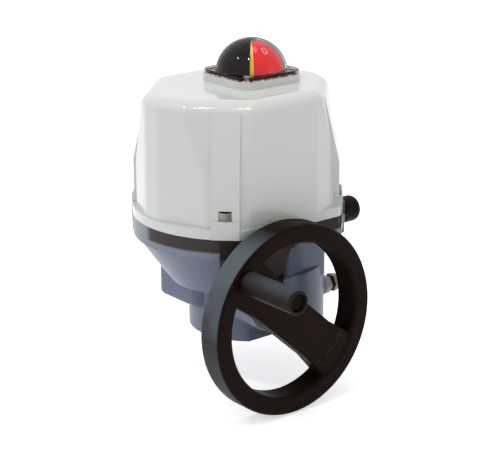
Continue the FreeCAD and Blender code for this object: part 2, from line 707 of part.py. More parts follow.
def upper_bush():
    bush = ring(SPINDLE_R + 8, SPINDLE_R + 4 + RUN_FIT, LID_T + 2, V(0, 0, FLOOR_Z - 1))
    return bush.fuse(ring(SPINDLE_R + 10, SPINDLE_R + 4 + RUN_FIT, 1.0, V(0, 0, LID_TOP)))


def spindle_bush():
    bush = ring(SPINDLE_R + BUSH_WALL, SPINDLE_R + RUN_FIT, BOSS_TOP_Z - COVER_TOP_Z + COVER_WALL,
                V(0, 0, COVER_TOP_Z - COVER_WALL))
    return bush


def screwed(foot):
    """Clearance holes for the screws in the foot of a bracket."""
    for x, y, thickness in FOOT_SCREWS:
        foot = foot.cut(cyl(FOOT_M_R + SEAT_GAP, thickness + 2, V(x, y, LID_TOP - 1)))
    return foot


def gearbox_lid():
    lid = cyl(LID_R, LID_T, V(0, 0, FLOOR_Z))
    slot_x = WORM_X - IDLER_R - 3
    lid = lid.cut(box(slot_x, WORM_X + IDLER_R + 3, PLATE_Y + PLATE_T, LID_R, FLOOR_Z - 1, LID_TOP + 1))
    lid = lid.cut(cyl(SPINDLE_R + 8, LID_T + 2, V(0, 0, FLOOR_Z - 1)))
    for x, y in lid_screw_points():
        lid = lid.cut(cyl(LID_M_R + SEAT_GAP, LID_T + 2, V(x, y, FLOOR_Z - 1)))
    for x, y, foot in FOOT_SCREWS:
        lid = lid.cut(cyl(FOOT_M_R, LID_T + 2, V(x, y, FLOOR_Z - 1)))
    return lid


def lid_screws():
    screws = []
    for x, y in lid_screw_points():
        at = V(x, y, LID_TOP)
        head = cyl(4.25, 3.0, at).cut(hexagon(3.0, 3.0, at + V(0, 0, 1), Z_AXIS))
        length = LID_T + LID_THREAD - 1.0
        screws.append(head.fuse(cyl(LID_M_R - RUN_FIT, length, at - V(0, 0, length))))
    return group(screws)


def worm_wheel():
    wheel = gear(WHEEL_TEETH, WORM_MODULE, WHEEL_WIDTH, HUB_R, WORM_CLEAR)
    wheel.translate(V(0, 0, WORM_Z - WHEEL_WIDTH / 2))
    return wheel


def stop_arm():
    arm = ring(HUB_R + 5, HUB_R, STOP_ARM_T, V(0, 0, STOP_Z - STOP_ARM_T / 2))
    bar = box(HUB_R + 1, STOP_ARM_R, -STOP_ARM_W / 2, STOP_ARM_W / 2,
              STOP_Z - STOP_ARM_T / 2, STOP_Z + STOP_ARM_T / 2)
    arm = arm.fuse(bar)
    arm.rotate(V(0, 0, 0), Z_AXIS, -45)
    return arm.removeSplitter()


def worm_thread():
    """One helical tooth round the worm, symmetric about the plane of the output axis."""
    helix = Part.makeHelix(WORM_LEAD, WORM_LEN, WORM_CORE_R)
    half_root = WORM_LEAD / 4 + 0.25 * WORM_MODULE - 0.1
    half_tip = WORM_LEAD / 4 - 0.36 * WORM_MODULE - 0.2
    root, tip = WORM_CORE_R - 0.4, WORM_TIP_R
    points = [V(root, 0, -half_root), V(tip, 0, -half_tip), V(tip, 0, half_tip), V(root, 0, half_root)]
    profile = Part.makePolygon(points + points[:1])
    thread = Part.Wire(helix).makePipeShell([profile], True, True)
    thread.translate(V(0, 0, -WORM_LEN / 2))
    # a left-hand thread, so that turning the handwheel clockwise closes the valve
    return thread.mirror(V(0, 0, 0), Y_AXIS)


def worm_shaft():
    start = WHEEL_FRONT_Y + 4
    shaft = cyl(WORM_SHAFT_R, -WORM_LEN / 2 - 4 - start, V(0, 0, start))
    rear = WORM_LEN / 2 + 4
    shaft = shaft.fuse(cyl(WORM_SHAFT_R, GEAR_Y - rear, V(0, 0, rear)))
    shaft = shaft.fuse(cyl(GEAR_SEAT_R, GEAR_W, V(0, 0, GEAR_Y)))
    shaft = shaft.fuse(cyl(GEAR_SEAT_R - 0.5, REAR_SHAFT_Y - GEAR_Y - GEAR_W, V(0, 0, GEAR_Y + GEAR_W)))
    shaft = shaft.fuse(cyl(WORM_CORE_R, WORM_LEN + 10, V(0, 0, -WORM_LEN / 2 - 5)))
    shaft = shaft.fuse(worm_thread())
    return along_y(shaft, WORM_X, 0, WORM_Z).cut(cross_pin(0.0, WHEEL_HUB_R))


def bearing(y, shaft_r):
    bore = shaft_r + RUN_FIT
    outer = ring(WORM_BEARING_R, bore, BEARING_W, V(WORM_X, y, WORM_Z), Y_AXIS)
    groove = ring(WORM_BEARING_R - 1.8, bore + 1.8, 0.8, V(WORM_X, y, WORM_Z), Y_AXIS)
    return outer.cut(groove)


def shaft_seal():
    return ring(WORM_SHAFT_R + 4, WORM_SHAFT_R + RUN_FIT, SEAL_W, V(WORM_X, BOSS_END_Y, WORM_Z), Y_AXIS)


def on_gear_axis(shape, z, turn=0.0):
    return along_y(shape, WORM_X, GEAR_Y, z, turn)


def shaft_gear():
    return on_gear_axis(gear(PINION_TEETH, GEAR_MODULE, GEAR_W, GEAR_SEAT_R), WORM_Z, TOOTH_UP)


def idler_gear(z, turn):
    wheel = gear(IDLER_TEETH, GEAR_MODULE, GEAR_W, AXLE_R + RUN_FIT)
    for side in (0, GEAR_W - 2):
        recess = ring(IDLER_R - 3.5, AXLE_R + 4, 2, V(0, 0, side))
        wheel = wheel.cut(recess)
    for k in range(5):
        a = math.radians(72 * k)
        wheel = wheel.cut(cyl(3.2, GEAR_W, V(11.5 * math.cos(a), 11.5 * math.sin(a), 0)))
    return on_gear_axis(wheel, z, turn)


def motor_pinion():
    pinion = gear(PINION_TEETH, GEAR_MODULE, GEAR_W, 3.0)
    pinion = pinion.fuse(cyl(4.0 - RUN_FIT, GEAR_Y - PLATE_Y + 12 + GEAR_W, V(0, 0, PLATE_Y - GEAR_Y - 12)))
    return on_gear_axis(pinion, MOTOR_Z, TOOTH_DOWN + 180.0 / PINION_TEETH)


def idler_axles():
    pins = []
    for z in (LOW_IDLER_Z, HIGH_IDLER_Z):
        pin = cyl(AXLE_R, REAR_BEARING_Y + 2 - PLATE_Y, V(WORM_X, PLATE_Y, z), Y_AXIS)
        groove = ring(AXLE_R + 1, AXLE_R - 0.5, 1.0, V(WORM_X, GEAR_Y + GEAR_W + SEAT_GAP, z), Y_AXIS)
        pins.append(pin.cut(groove))
    return group(pins)


def axle_clips():
    clips = []
    for z in (LOW_IDLER_Z, HIGH_IDLER_Z):
        y = GEAR_Y + GEAR_W + SEAT_GAP + RUN_FIT
        clip = ring(AXLE_R + 2.0, AXLE_R - 0.4, 0.9, V(WORM_X, y, z), Y_AXIS)
        clips.append(clip.cut(box(WORM_X - 1.5, WORM_X + 1.5, y - 1, y + 2, z, z + 10)))
    return group(clips)


def motor_screw_points():
    turns = [math.radians(a) for a in MOTOR_SCREW_ANGLES]
    r = MOTOR_SCREW_RING
    return [(WORM_X + r * math.cos(a), MOTOR_Z + r * math.sin(a)) for a in turns]


def gear_plate():
    plate = box(WORM_X - 26, WORM_X + 26, PLATE_Y, PLATE_Y + PLATE_T, LID_TOP, MOTOR_Z + MOTOR_R + 2)
    # round corners at the top, and where the plate comes near the bowl
    plate = fillet_where(plate, 10.0, lambda e: abs(e.Length - PLATE_T) < 1e-3
                         and (e.BoundBox.ZMin > MOTOR_Z or e.BoundBox.XMax < WORM_X))
    plate = plate.fuse(box(WORM_X + 2, WORM_X + 26, 14, PLATE_Y, LID_TOP, LID_TOP + PLATE_T))
    for z in (LOW_IDLER_Z, HIGH_IDLER_Z):
        plate = plate.cut(cyl(AXLE_R, 20, V(WORM_X, PLATE_Y - 5, z), Y_AXIS))
    plate = plate.cut(cyl(9.0, 20, V(WORM_X, PLATE_Y - 5, MOTOR_Z), Y_AXIS))
    for x, z in motor_screw_points():
        plate = plate.cut(cyl(MOTOR_SCREW_R + SEAT_GAP, 20, V(x, PLATE_Y - 5, z), Y_AXIS))
    return screwed(plate.removeSplitter())


def gearmotor():
    case = cyl(MOTOR_R, MOTOR_CASE, V(WORM_X, PLATE_Y - MOTOR_CASE, MOTOR_Z), Y_AXIS)
    can_len = MOTOR_LEN - MOTOR_CASE
    can = cyl(MOTOR_R - 3, can_len, V(WORM_X, PLATE_Y - MOTOR_LEN, MOTOR_Z), Y_AXIS)
    can = can.makeFillet(3.0, [e for e in can.Edges if e.BoundBox.YMax < PLATE_Y - MOTOR_LEN + 0.1])
    boss = cyl(8.5, 3, V(WORM_X, PLATE_Y, MOTOR_Z), Y_AXIS)
    motor = fuse([case, can, boss])
    motor = motor.cut(cyl(4.0, 30, V(WORM_X, PLATE_Y - 14, MOTOR_Z), Y_AXIS))
    for x, z in motor_screw_points():
        motor = motor.cut(cyl(MOTOR_SCREW_R, 20, V(x, PLATE_Y - 10, z), Y_AXIS))
    return motor


def motor_screws():
    screws = []
    for x, z in motor_screw_points():
        head = cyl(3.5, 2.8, V(x, PLATE_Y + PLATE_T, z), Y_AXIS)
        head = head.cut(hexagon(2.5, 3, V(x, PLATE_Y + PLATE_T + 1.2, z), Y_AXIS))
        screws.append(head.fuse(cyl(MOTOR_SCREW_R - RUN_FIT, 12, V(x, PLATE_Y + PLATE_T - 12, z), Y_AXIS)))
    return group(screws)


def cross_pin(slack, half):
    """Pin through the hub of the handwheel and the shaft, square to the bar."""
    pin = cyl(WHEEL_PIN_R - slack, 2 * half, V(0, 0, -half))
    pin.rotate(V(0, 0, 0), Y_AXIS, -BAR_ANGLE)
    pin.translate(V(WORM_X, WHEEL_PIN_Y, WORM_Z))
    return pin


def handwheel():
    """Rim turned about the shaft, with one broad bar across it and a hub behind."""
    c = WHEEL_RIM_W / 2
    mid_r = WHEEL_R - WHEEL_RIM / 2
    section = [V(mid_r - WHEEL_RIM / 2, 0, -c), V(mid_r + WHEEL_RIM / 2, 0, -c),
               V(mid_r + WHEEL_RIM / 2, 0, c), V(mid_r - WHEEL_RIM / 2, 0, c)]
    rim = Part.Face(Part.makePolygon(section + section[:1])).revolve(V(0, 0, 0), Z_AXIS, 360)
    rim = fillet_where(rim, 3.5, lambda e: e.Length > 10)
    inner = WHEEL_R - WHEEL_RIM
    reach = inner + 3.0
    half, flare = BAR_HALF, BAR_HALF + BAR_FLARE
    bend = inner * BAR_BEND
    outline = [V(-reach, -flare, 0), V(-bend, -half, 0), V(bend, -half, 0), V(reach, -flare, 0),
               V(reach, flare, 0), V(bend, half, 0), V(-bend, half, 0), V(-reach, flare, 0)]
    bar = Part.Face(Part.makePolygon(outline + outline[:1])).extrude(V(0, 0, BAR_T))
    bar.translate(V(0, 0, -c + 2.0))
    bar = fillet_where(bar, 2.0, lambda e: abs(e.BoundBox.ZLength) < 1e-3 and e.BoundBox.XLength > 20)
    keep = cyl(WHEEL_R - 4, 60, V(0, 0, -30))
    hub = cyl(WHEEL_HUB_R, WHEEL_FRONT_Y * -1 + BOSS_END_Y - 3 - WHEEL_RIM_W / 2, V(0, 0, 0))
    wheel = fuse([rim, bar.common(keep), hub])
    wheel = wheel.cut(cyl(WORM_SHAFT_R + RUN_FIT, 60, V(0, 0, 4 - c)))
    wheel = wheel.cut(cyl(GRIP_PIN_R, 60, V(-GRIP_AT, 0, -30)))
    placed = along_y(wheel, 0, 0, 0)
    placed.rotate(V(0, 0, 0), Y_AXIS, -BAR_ANGLE)
    placed.translate(V(WORM_X, WHEEL_FRONT_Y + c, WORM_Z))
    return placed.cut(cross_pin(0.0, WHEEL_HUB_R + 1)).removeSplitter()


def grip_axis(y):
    a = math.radians(180 + BAR_ANGLE)
    return V(WORM_X + GRIP_AT * math.cos(a), y, WORM_Z + GRIP_AT * math.sin(a))


def handle_grip():
    start = WHEEL_FRONT_Y - SEAT_GAP
    grip = cyl(GRIP_R, GRIP_LEN, grip_axis(start), FRONT)
    grip = grip.makeFillet(1.2, [e for e in grip.Edges if e.Length > 30 and e.BoundBox.YLength < 0.1])
    grip = grip.cut(cyl(GRIP_PIN_R + RUN_FIT, GRIP_LEN, grip_axis(start), FRONT))
    recess = cyl(GRIP_R - 2.5, GRIP_RECESS + 1, grip_axis(start - GRIP_LEN + GRIP_RECESS), FRONT)
    return grip.cut(recess)


def handle_pin():
    start = WHEEL_FRONT_Y - SEAT_GAP
    back = WHEEL_FRONT_Y + 2.0 + BAR_T
    seat = start - GRIP_LEN + GRIP_RECESS - SEAT_GAP
    shank = cyl(GRIP_PIN_R - RUN_FIT, back - seat + 1.0, grip_axis(back), FRONT)
    head = cyl(GRIP_PIN_R + 2.5, 4.0, grip_axis(seat), FRONT)
    return shank.fuse(head).removeSplitter()


def end_stop_bolts():
    bolts = []
    for side in (-1, 1):
        y = side * STOP_Y
        shank = cyl(M10_R - RUN_FIT, STOP_HEAD_X - STOP_TIP_X, V(STOP_TIP_X, y, STOP_Z), X_AXIS)
        head = hexagon(M10_AF, STOP_HEAD_T, V(STOP_HEAD_X, y, STOP_Z), X_AXIS)
        # the corners of the head are turned off towards its end
        turned = Part.makeCone(M10_AF * 0.62, M10_AF * 0.5, STOP_HEAD_T, V(STOP_HEAD_X, y, STOP_Z), X_AXIS)
        head = head.common(turned)
        bolts.append(shank.fuse(head))
    return group(bolts)


def end_stop_nuts():
    nuts = []
    for side in (-1, 1):
        nut = hexagon(M10_AF, STOP_NUT_T, V(STOP_NUT_X, side * STOP_Y, STOP_Z), X_AXIS)
        nuts.append(nut.cut(cyl(M10_R, STOP_NUT_T + 2, V(STOP_NUT_X - 1, side * STOP_Y, STOP_Z), X_AXIS)))
    return group(nuts)


def gland_bodies():
    bodies = []
    for side in (-1, 1):
        y = side * GLAND_Y
        body = hexagon(GLAND_AF, GLAND_HEX_W, V(PAD_X, y, GLAND_Z), X_AXIS)
        body = body.fuse(cyl(GLAND_R - RUN_FIT, 14, V(PAD_X - 14, y, GLAND_Z), X_AXIS))
        body = body.fuse(cyl(GLAND_R, GLAND_NECK, V(PAD_X + GLAND_HEX_W, y, GLAND_Z), X_AXIS))
        bodies.append(body.cut(cyl(GLAND_BORE_R + 1.5, 60, V(PAD_X - 30, y, GLAND_Z), X_AXIS)))
    return group(bodies)


def gland_nuts():
    nuts = []
    start = PAD_X + GLAND_HEX_W
    for side in (-1, 1):
        y = side * GLAND_Y
        nut = cyl(GLAND_AF / 2 + 0.8, GLAND_NUT_L, V(start, y, GLAND_Z), X_AXIS)
        nut = nut.makeFillet(6.5, [e for e in nut.Edges if e.BoundBox.XMin > start + GLAND_NUT_L - 0.1])
        nut = nut.cut(cyl(GLAND_R + RUN_FIT, GLAND_NECK + SEAT_GAP, V(start, y, GLAND_Z), X_AXIS))
        nuts.append(nut.cut(cyl(GLAND_BORE_R + 1.5, 60, V(start, y, GLAND_Z), X_AXIS)))
    return group(nuts)


def gland_seals():
    length = GLAND_HEX_W + GLAND_NUT_L - 3
    return group([ring(GLAND_BORE_R + 1.5 - RUN_FIT, GLAND_BORE_R - 1, length,
                       V(PAD_X, side * GLAND_Y, GLAND_Z), X_AXIS) for side in (-1, 1)])


def switch_cams():
    cams = []
    for k in range(CAM_COUNT):
        z = CAM_Z + k * CAM_PITCH
        cam = ring(CAM_R, SPINDLE_R + RUN_FIT, CAM_T, V(0, 0, z))
        notch = box(CAM_R - 2.5, CAM_R + 2, -7, 7, z - 1, z + CAM_T + 1)
        notch.rotate(V(0, 0, 0), Z_AXIS, 90 * k + 40)
        hub = ring(SPINDLE_R + 3, SPINDLE_R + RUN_FIT, CAM_PITCH - CAM_T, V(0, 0, z + CAM_T))
        cams.append(cam.cut(notch).fuse(hub))
    return group(cams)


def microswitches():
    switches = []
    for k in range(CAM_COUNT):
        z = CAM_Z + k * CAM_PITCH
        case = box(SWITCH_X0, SWITCH_X1, -14, 12, z, z + CAM_T - 1)
        tip = V(CAM_R + SEAT_GAP, 0, z + CAM_T / 2 - 0.5)
        button = cyl(2.0, SWITCH_X0 - CAM_R - SEAT_GAP + 1, tip, X_AXIS)
        switches.append(case.fuse(button))
    return group(switches)


def switch_bracket():
    top = CAM_Z + CAM_COUNT * CAM_PITCH + 3
    post = box(SWITCH_X1, SWITCH_X1 + 3, -16, 16, LID_TOP, top)
    foot = box(SPINDLE_R + 11, SWITCH_X1, -12, 12, LID_TOP, LID_TOP + BRACKET_FOOT_T)
    return screwed(fuse([post, foot]))


def board_bracket():
    low = box(BRACKET_X, BRACKET_X + 2, -24, 24, LID_TOP, BOARD_LOW)
    high = box(BRACKET_X, BRACKET_X + 2, -BOARD_HALF, BOARD_HALF, BOARD_LOW, BOARD_TOP)
    foot = box(SWITCH_X1 + 3, BRACKET_X, -24, 24, LID_TOP, LID_TOP + BRACKET_FOOT_T)
    return screwed(fuse([low, high, foot]))


def board_points():
    return [(y, z) for y in (-BOARD_HALF + 5, BOARD_HALF - 5) for z in (BOARD_LOW + 5, BOARD_TOP - 5)]


def board_spacers():
    gap = BOARD_X - BRACKET_X - 2
    return group([cyl(3.0, gap, V(BRACKET_X + 2, y, z), X_AXIS) for y, z in board_points()])


def control_board():
    return box(BOARD_X, BOARD_X + BOARD_T, -BOARD_HALF, BOARD_HALF, BOARD_LOW, BOARD_TOP)


def foot_screws():
    screws = []
    for x, y, foot in FOOT_SCREWS:
        seat = V(x, y, LID_TOP + foot)
        head = cyl(2 * FOOT_M_R, 2.0, seat).cut(hexagon(2.0, 2, seat + V(0, 0, 1), Z_AXIS))
        shank = cyl(FOOT_M_R - RUN_FIT, LID_T + foot, V(x, y, FLOOR_Z))
        screws.append(head.fuse(shank))
    return group(screws)


def terminal_block():
    x0 = BOARD_X + BOARD_T
    block = box(x0, x0 + 11, -34, 34, 104, 116)
    for k in range(8):
        y = -34 + 8.5 * (k + 0.5)
        block = block.cut(cyl(2.4, 6, V(x0 + 6, y, 111), X_AXIS))
        block = block.cut(box(x0 + 5, x0 + 12, y - 2, y + 2, 104, 107))
    return block


def board_parts():
    x0 = BOARD_X + BOARD_T
    blocks = [box(x0, x0 + 15, -30 + 22 * k, -14 + 22 * k, 124, 148) for k in range(2)]
    blocks.append(box(x0, x0 + 16, 16, 34, 122, 150))
    blocks.append(cyl(5.0, 14, V(x0, -30, 157), X_AXIS))
    blocks.append(cyl(5.0, 14, V(x0, -16, 157), X_AXIS))
    return group(blocks)


def heater():
    body = box(-12, 16, -46, -34, LID_TOP, LID_TOP + 12)
    for k in range(5):
        body = body.cut(box(-9.5 + 5 * k, -7.5 + 5 * k, -47, -33, LID_TOP + 7, LID_TOP + 13))
    return body


def earth_screw():
    at = V(EARTH_X, 0, GLAND_Z)
    head = cyl(EARTH_HEAD_R, 3.5, at, X_AXIS)
    slot = box(EARTH_X + 2, EARTH_X + 4, -6, 6, GLAND_Z - 0.6, GLAND_Z + 0.6)
    return head.cut(slot).fuse(cyl(EARTH_R - RUN_FIT, RIM_WALL, at - V(RIM_WALL, 0, 0), X_AXIS))


PIECES = {
    "base_housing": base_housing,
    "cover": cover,
    "cover_seal": cover_seal,
    "cover_screws": cover_screws,
    "indicator_dome": indicator_dome,
    "dome_seal": dome_seal,
    "dome_screws": dome_screws,
    "indicator_mask": indicator_mask,
    "indicator_red": lambda: indicator_sectors(SECTOR_START),
    "indicator_yellow": lambda: indicator_sectors(SECTOR_START - 90),
    "indicator_hub": indicator_hub,
    "output_shaft": output_shaft,
    "lower_bush": lower_bush,
    "output_seal": output_seal,
    "upper_bush": upper_bush,
    "spindle_bush": spindle_bush,
    "gearbox_lid": gearbox_lid,
    "lid_screws": lid_screws,
    "worm_wheel": worm_wheel,
    "stop_arm": stop_arm,
    "worm_shaft": worm_shaft,
    "front_bearing": lambda: bearing(FRONT_BEARING_Y, WORM_SHAFT_R),
    "rear_bearing": lambda: bearing(REAR_BEARING_Y, GEAR_SEAT_R - 0.5),
    "shaft_seal": shaft_seal,
    "shaft_gear": shaft_gear,
    "lower_idler_gear": lambda: idler_gear(LOW_IDLER_Z, TOOTH_DOWN + 180.0 / IDLER_TEETH),
    "upper_idler_gear": lambda: idler_gear(HIGH_IDLER_Z, TOOTH_DOWN),
    "motor_pinion": motor_pinion,
    "idler_axles": idler_axles,
    "axle_clips": axle_clips,
    "gear_plate": gear_plate,
    "gearmotor": gearmotor,
    "motor_screws": motor_screws,
    "handwheel": handwheel,
    "wheel_pin": lambda: cross_pin(RUN_FIT, WHEEL_HUB_R - 0.5),
    "handle_grip": handle_grip,
    "handle_pin": handle_pin,
    "end_stop_bolts": end_stop_bolts,
    "end_stop_nuts": end_stop_nuts,
    "gland_bodies": gland_bodies,
    "gland_nuts": gland_nuts,
    "gland_seals": gland_seals,
    "switch_cams": switch_cams,
    "microswitches": microswitches,
    "switch_bracket": switch_bracket,
    "board_bracket": board_bracket,
    "foot_screws": foot_screws,
    "board_spacers": board_spacers,
    "control_board": control_board,
    "terminal_block": terminal_block,
    "board_parts": board_parts,
    "heater": heater,
    "earth_screw": earth_screw,
}

os.makedirs("parts", exist_ok=True)
for name, make in PIECES.items():
    shape = make()
    shape.exportStep("parts/" + name + ".step")
    print(name, shape.isValid(), len(shape.Solids), round(shape.Volume))
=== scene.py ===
import json
import logging
import math
from collections.abc import Callable
from dataclasses import dataclass, field
from enum import Enum

import bpy
from mathutils import Matrix, Vector


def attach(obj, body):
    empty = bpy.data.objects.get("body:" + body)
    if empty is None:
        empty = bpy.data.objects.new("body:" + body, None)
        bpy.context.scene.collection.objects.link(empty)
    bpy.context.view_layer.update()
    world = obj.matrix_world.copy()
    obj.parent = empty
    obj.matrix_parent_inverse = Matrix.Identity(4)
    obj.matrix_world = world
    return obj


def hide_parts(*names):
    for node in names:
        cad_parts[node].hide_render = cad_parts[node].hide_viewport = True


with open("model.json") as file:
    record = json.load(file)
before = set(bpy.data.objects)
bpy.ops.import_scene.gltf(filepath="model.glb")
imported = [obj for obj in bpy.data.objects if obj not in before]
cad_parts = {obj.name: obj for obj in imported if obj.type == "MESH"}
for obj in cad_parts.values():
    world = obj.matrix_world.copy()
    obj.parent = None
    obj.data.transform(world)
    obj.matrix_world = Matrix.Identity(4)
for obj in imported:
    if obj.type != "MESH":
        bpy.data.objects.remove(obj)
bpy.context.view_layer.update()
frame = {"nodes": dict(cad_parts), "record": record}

log = logging.getLogger("actuator")

Colour = tuple[float, float, float]
Point = tuple[float, float, float]
Piece = bpy.types.Object
Node = bpy.types.Node
Socket = bpy.types.NodeSocket

MM = 0.001
# most values of a noise texture lie between these
NOISE_LOW, NOISE_HIGH = 0.3, 0.7
# cosine between the plain and the rounded normal, off the edges and on them
FLAT_COSINE, EDGE_COSINE = 0.995, 0.85
# noise values between which the wear of an edge comes and goes
WEAR_LOW, WEAR_HIGH = 0.42, 0.58


class Joining(Enum):
    """What a tool does to the piece that it meets."""

    FUSE = "UNION"
    CUT = "DIFFERENCE"


@dataclass(frozen=True)
class Rounding:
    """How sharp edges are rounded: width, steps, and the angle from which an edge is sharp."""

    width: float
    segments: int = 2
    degrees: float = 32.0


# Shader nodes, and the node groups that several finishes share


class NodeTree:
    """Thin layer over a shader node tree, so that a finish reads as a recipe."""

    def __init__(self, tree: bpy.types.NodeTree) -> None:
        """Keep the tree, a material's or a group's, that the nodes go in."""
        self.tree = tree

    def add(self, kind: str, **settings: object) -> Node:
        """Add a node and set its properties and unlinked inputs.

        Args:
            kind: the node's type name.
            settings: properties of the node, or inputs by name with spaces as underscores.

        Returns:
            The new node.
        """
        node = self.tree.nodes.new(kind)
        for key, value in settings.items():
            if hasattr(node, key):
                setattr(node, key, value)
            else:
                node.inputs[key.replace("_", " ")].default_value = value
        return node

    def link(self, source: Socket, target: Socket) -> None:
        """Join an output to an input."""
        self.tree.links.new(source, target)

    def math(self, operation: str, first: Socket | float, second: Socket | float) -> Socket:
        """Add a Math node.

        Args:
            operation: the operation's name, such as MULTIPLY.
            first: a socket or a number.
            second: a socket or a number.

        Returns:
            The node's output.
        """
        node = self.tree.nodes.new("ShaderNodeMath")
        node.operation = operation
        for slot, value in enumerate((first, second)):
            if isinstance(value, Socket):
                self.link(value, node.inputs[slot])
            else:
                node.inputs[slot].default_value = value
        return node.outputs[0]

    def mix(self, factor: Socket | float, first: Socket | Colour,
            second: Socket | Colour) -> Socket:
        """Add a colour mix.

        Args:
            factor: a socket or a number from 0 to 1.
            first: a socket or a colour, shown where factor is 0.
            second: a socket or a colour, shown where factor is 1.

        Returns:
            The mixed colour.
        """
        node = self.tree.nodes.new("ShaderNodeMix")
        node.data_type = "RGBA"
        for index, value in ((0, factor), (6, first), (7, second)):
            if isinstance(value, Socket):
                self.link(value, node.inputs[index])
            elif index == 0:
                node.inputs[index].default_value = value
            else:
                node.inputs[index].default_value = (*value, 1.0)
        return node.outputs[2]

    def span(self, value: Socket, low: float, high: float, start: float, end: float) -> Socket:
        """Map a value from one range to another, clamped at its ends.

        Args:
            value: the socket to map.
            low: start of the range it comes from.
            high: end of the range it comes from.
            start: result at low.
            end: result at high.

        Returns:
            The mapped value.
        """
        node = self.tree.nodes.new("ShaderNodeMapRange")
        self.link(value, node.inputs[0])
        for index, number in enumerate((low, high, start, end), start=1):
            node.inputs[index].default_value = number
        return node.outputs[0]

    def step(self, value: Socket, limit: float, soft: float, rising: bool = True) -> Socket:
        """1 above a limit, or below it if not rising, with a change as wide as twice soft."""
        start, end = (0.0, 1.0) if rising else (1.0, 0.0)
        return self.span(value, limit - soft, limit + soft, start, end)

    def split(self, vector: Socket) -> tuple[Socket, Socket, Socket]:
        """Split a vector or a colour into its three values.

        Args:
            vector: the vector or colour.

        Returns:
            The three values.
        """
        node = self.tree.nodes.new("ShaderNodeSeparateXYZ")
        self.link(vector, node.inputs[0])
        return tuple(node.outputs)

    def vector_math(self, operation: str, first: Socket, second: Point = (0.0, 0.0, 0.0)) -> Node:
        """Add a Vector Math node.

        Args:
            operation: the operation's name, such as DOT_PRODUCT.
            first: the vector that it works on.
            second: the other vector, if the operation takes one.

        Returns:
            The node, whose output is a vector or the Value.
        """
        node = self.tree.nodes.new("ShaderNodeVectorMath")
        node.operation = operation
        self.link(first, node.inputs[0])
        node.inputs[1].default_value = second
        return node


def group_sockets(tree: bpy.types.NodeTree, inputs: dict[str, float],
                  outputs: list[str]) -> None:
    """Give a node group its named sockets.

    Args:
        tree: the group.
        inputs: each input's name and default.
        outputs: the names of the outputs.
    """
    for name, default in inputs.items():
        socket = tree.interface.new_socket(name, in_out="INPUT", socket_type="NodeSocketFloat")
        socket.default_value = default
    for name in outputs:
        tree.interface.new_socket(name, in_out="OUTPUT", socket_type="NodeSocketFloat")


def surface_grain() -> bpy.types.NodeTree:
    """Fine relief of a moulded, cast or painted surface, with slow blotches.

    Returns:
        A group with Height, for bump, and Blotch, for colour and roughness.
    """
    found = bpy.data.node_groups.get("surface_grain")
    if found:
        return found
    tree = bpy.data.node_groups.new("surface_grain", "ShaderNodeTree")
    group_sockets(tree, {"Grain Scale": 400.0, "Blotch Scale": 12.0}, ["Height", "Blotch"])
    nodes = NodeTree(tree)
    given = nodes.add("NodeGroupInput")
    result = nodes.add("NodeGroupOutput")
    place = nodes.add("ShaderNodeTexCoord")
    fine = nodes.add("ShaderNodeTexNoise", Detail=4.0, Roughness=0.6)
    slow = nodes.add("ShaderNodeTexNoise", Detail=3.0, Roughness=0.55)
    for node, name in ((fine, "Grain Scale"), (slow, "Blotch Scale")):
        nodes.link(place.outputs["Object"], node.inputs["Vector"])
        nodes.link(given.outputs[name], node.inputs["Scale"])
    nodes.link(fine.outputs[0], result.inputs["Height"])
    blotch = nodes.span(slow.outputs[0], NOISE_LOW, NOISE_HIGH, 0.0, 1.0)
    nodes.link(blotch, result.inputs["Blotch"])
    return tree


def edge_mask() -> bpy.types.NodeTree:
    """Mask that is 1 on the outer edges of a piece, broken up by noise.

    Returns:
        A group with Edge.
    """
    found = bpy.data.node_groups.get("edge_mask")
    if found:
        return found
    tree = bpy.data.node_groups.new("edge_mask", "ShaderNodeTree")
    group_sockets(tree, {"Width": 0.0008, "Break Scale": 60.0}, ["Edge"])
    nodes = NodeTree(tree)
    given = nodes.add("NodeGroupInput")
    result = nodes.add("NodeGroupOutput")
    bevel = nodes.add("ShaderNodeBevel", samples=4)
    plain = nodes.add("ShaderNodeNewGeometry")
    nodes.link(given.outputs["Width"], bevel.inputs["Radius"])
    dot = nodes.add("ShaderNodeVectorMath", operation="DOT_PRODUCT")
    nodes.link(bevel.outputs[0], dot.inputs[0])
    nodes.link(plain.outputs["Normal"], dot.inputs[1])
    place = nodes.add("ShaderNodeTexCoord")
    noise = nodes.add("ShaderNodeTexNoise", Detail=5.0, Roughness=0.7)
    nodes.link(place.outputs["Object"], noise.inputs["Vector"])
    nodes.link(given.outputs["Break Scale"], noise.inputs["Scale"])
    turned = nodes.span(dot.outputs["Value"], FLAT_COSINE, EDGE_COSINE, 0.0, 1.0)
    broken = nodes.span(noise.outputs[0], WEAR_LOW, WEAR_HIGH, 0.0, 1.0)
    nodes.link(nodes.math("MULTIPLY", turned, broken), result.inputs["Edge"])
    return tree


def use_group(nodes: NodeTree, tree: bpy.types.NodeTree, **values: float) -> Node:
    """Place a node group in a material.

    Args:
        nodes: the material's tree.
        tree: the group.
        values: inputs by name, with spaces as underscores.

    Returns:
        The group node.
    """
    node = nodes.add("ShaderNodeGroup")
    node.node_tree = tree
    for name, value in values.items():
        node.inputs[name.replace("_", " ")].default_value = value
    return node


# Finishes


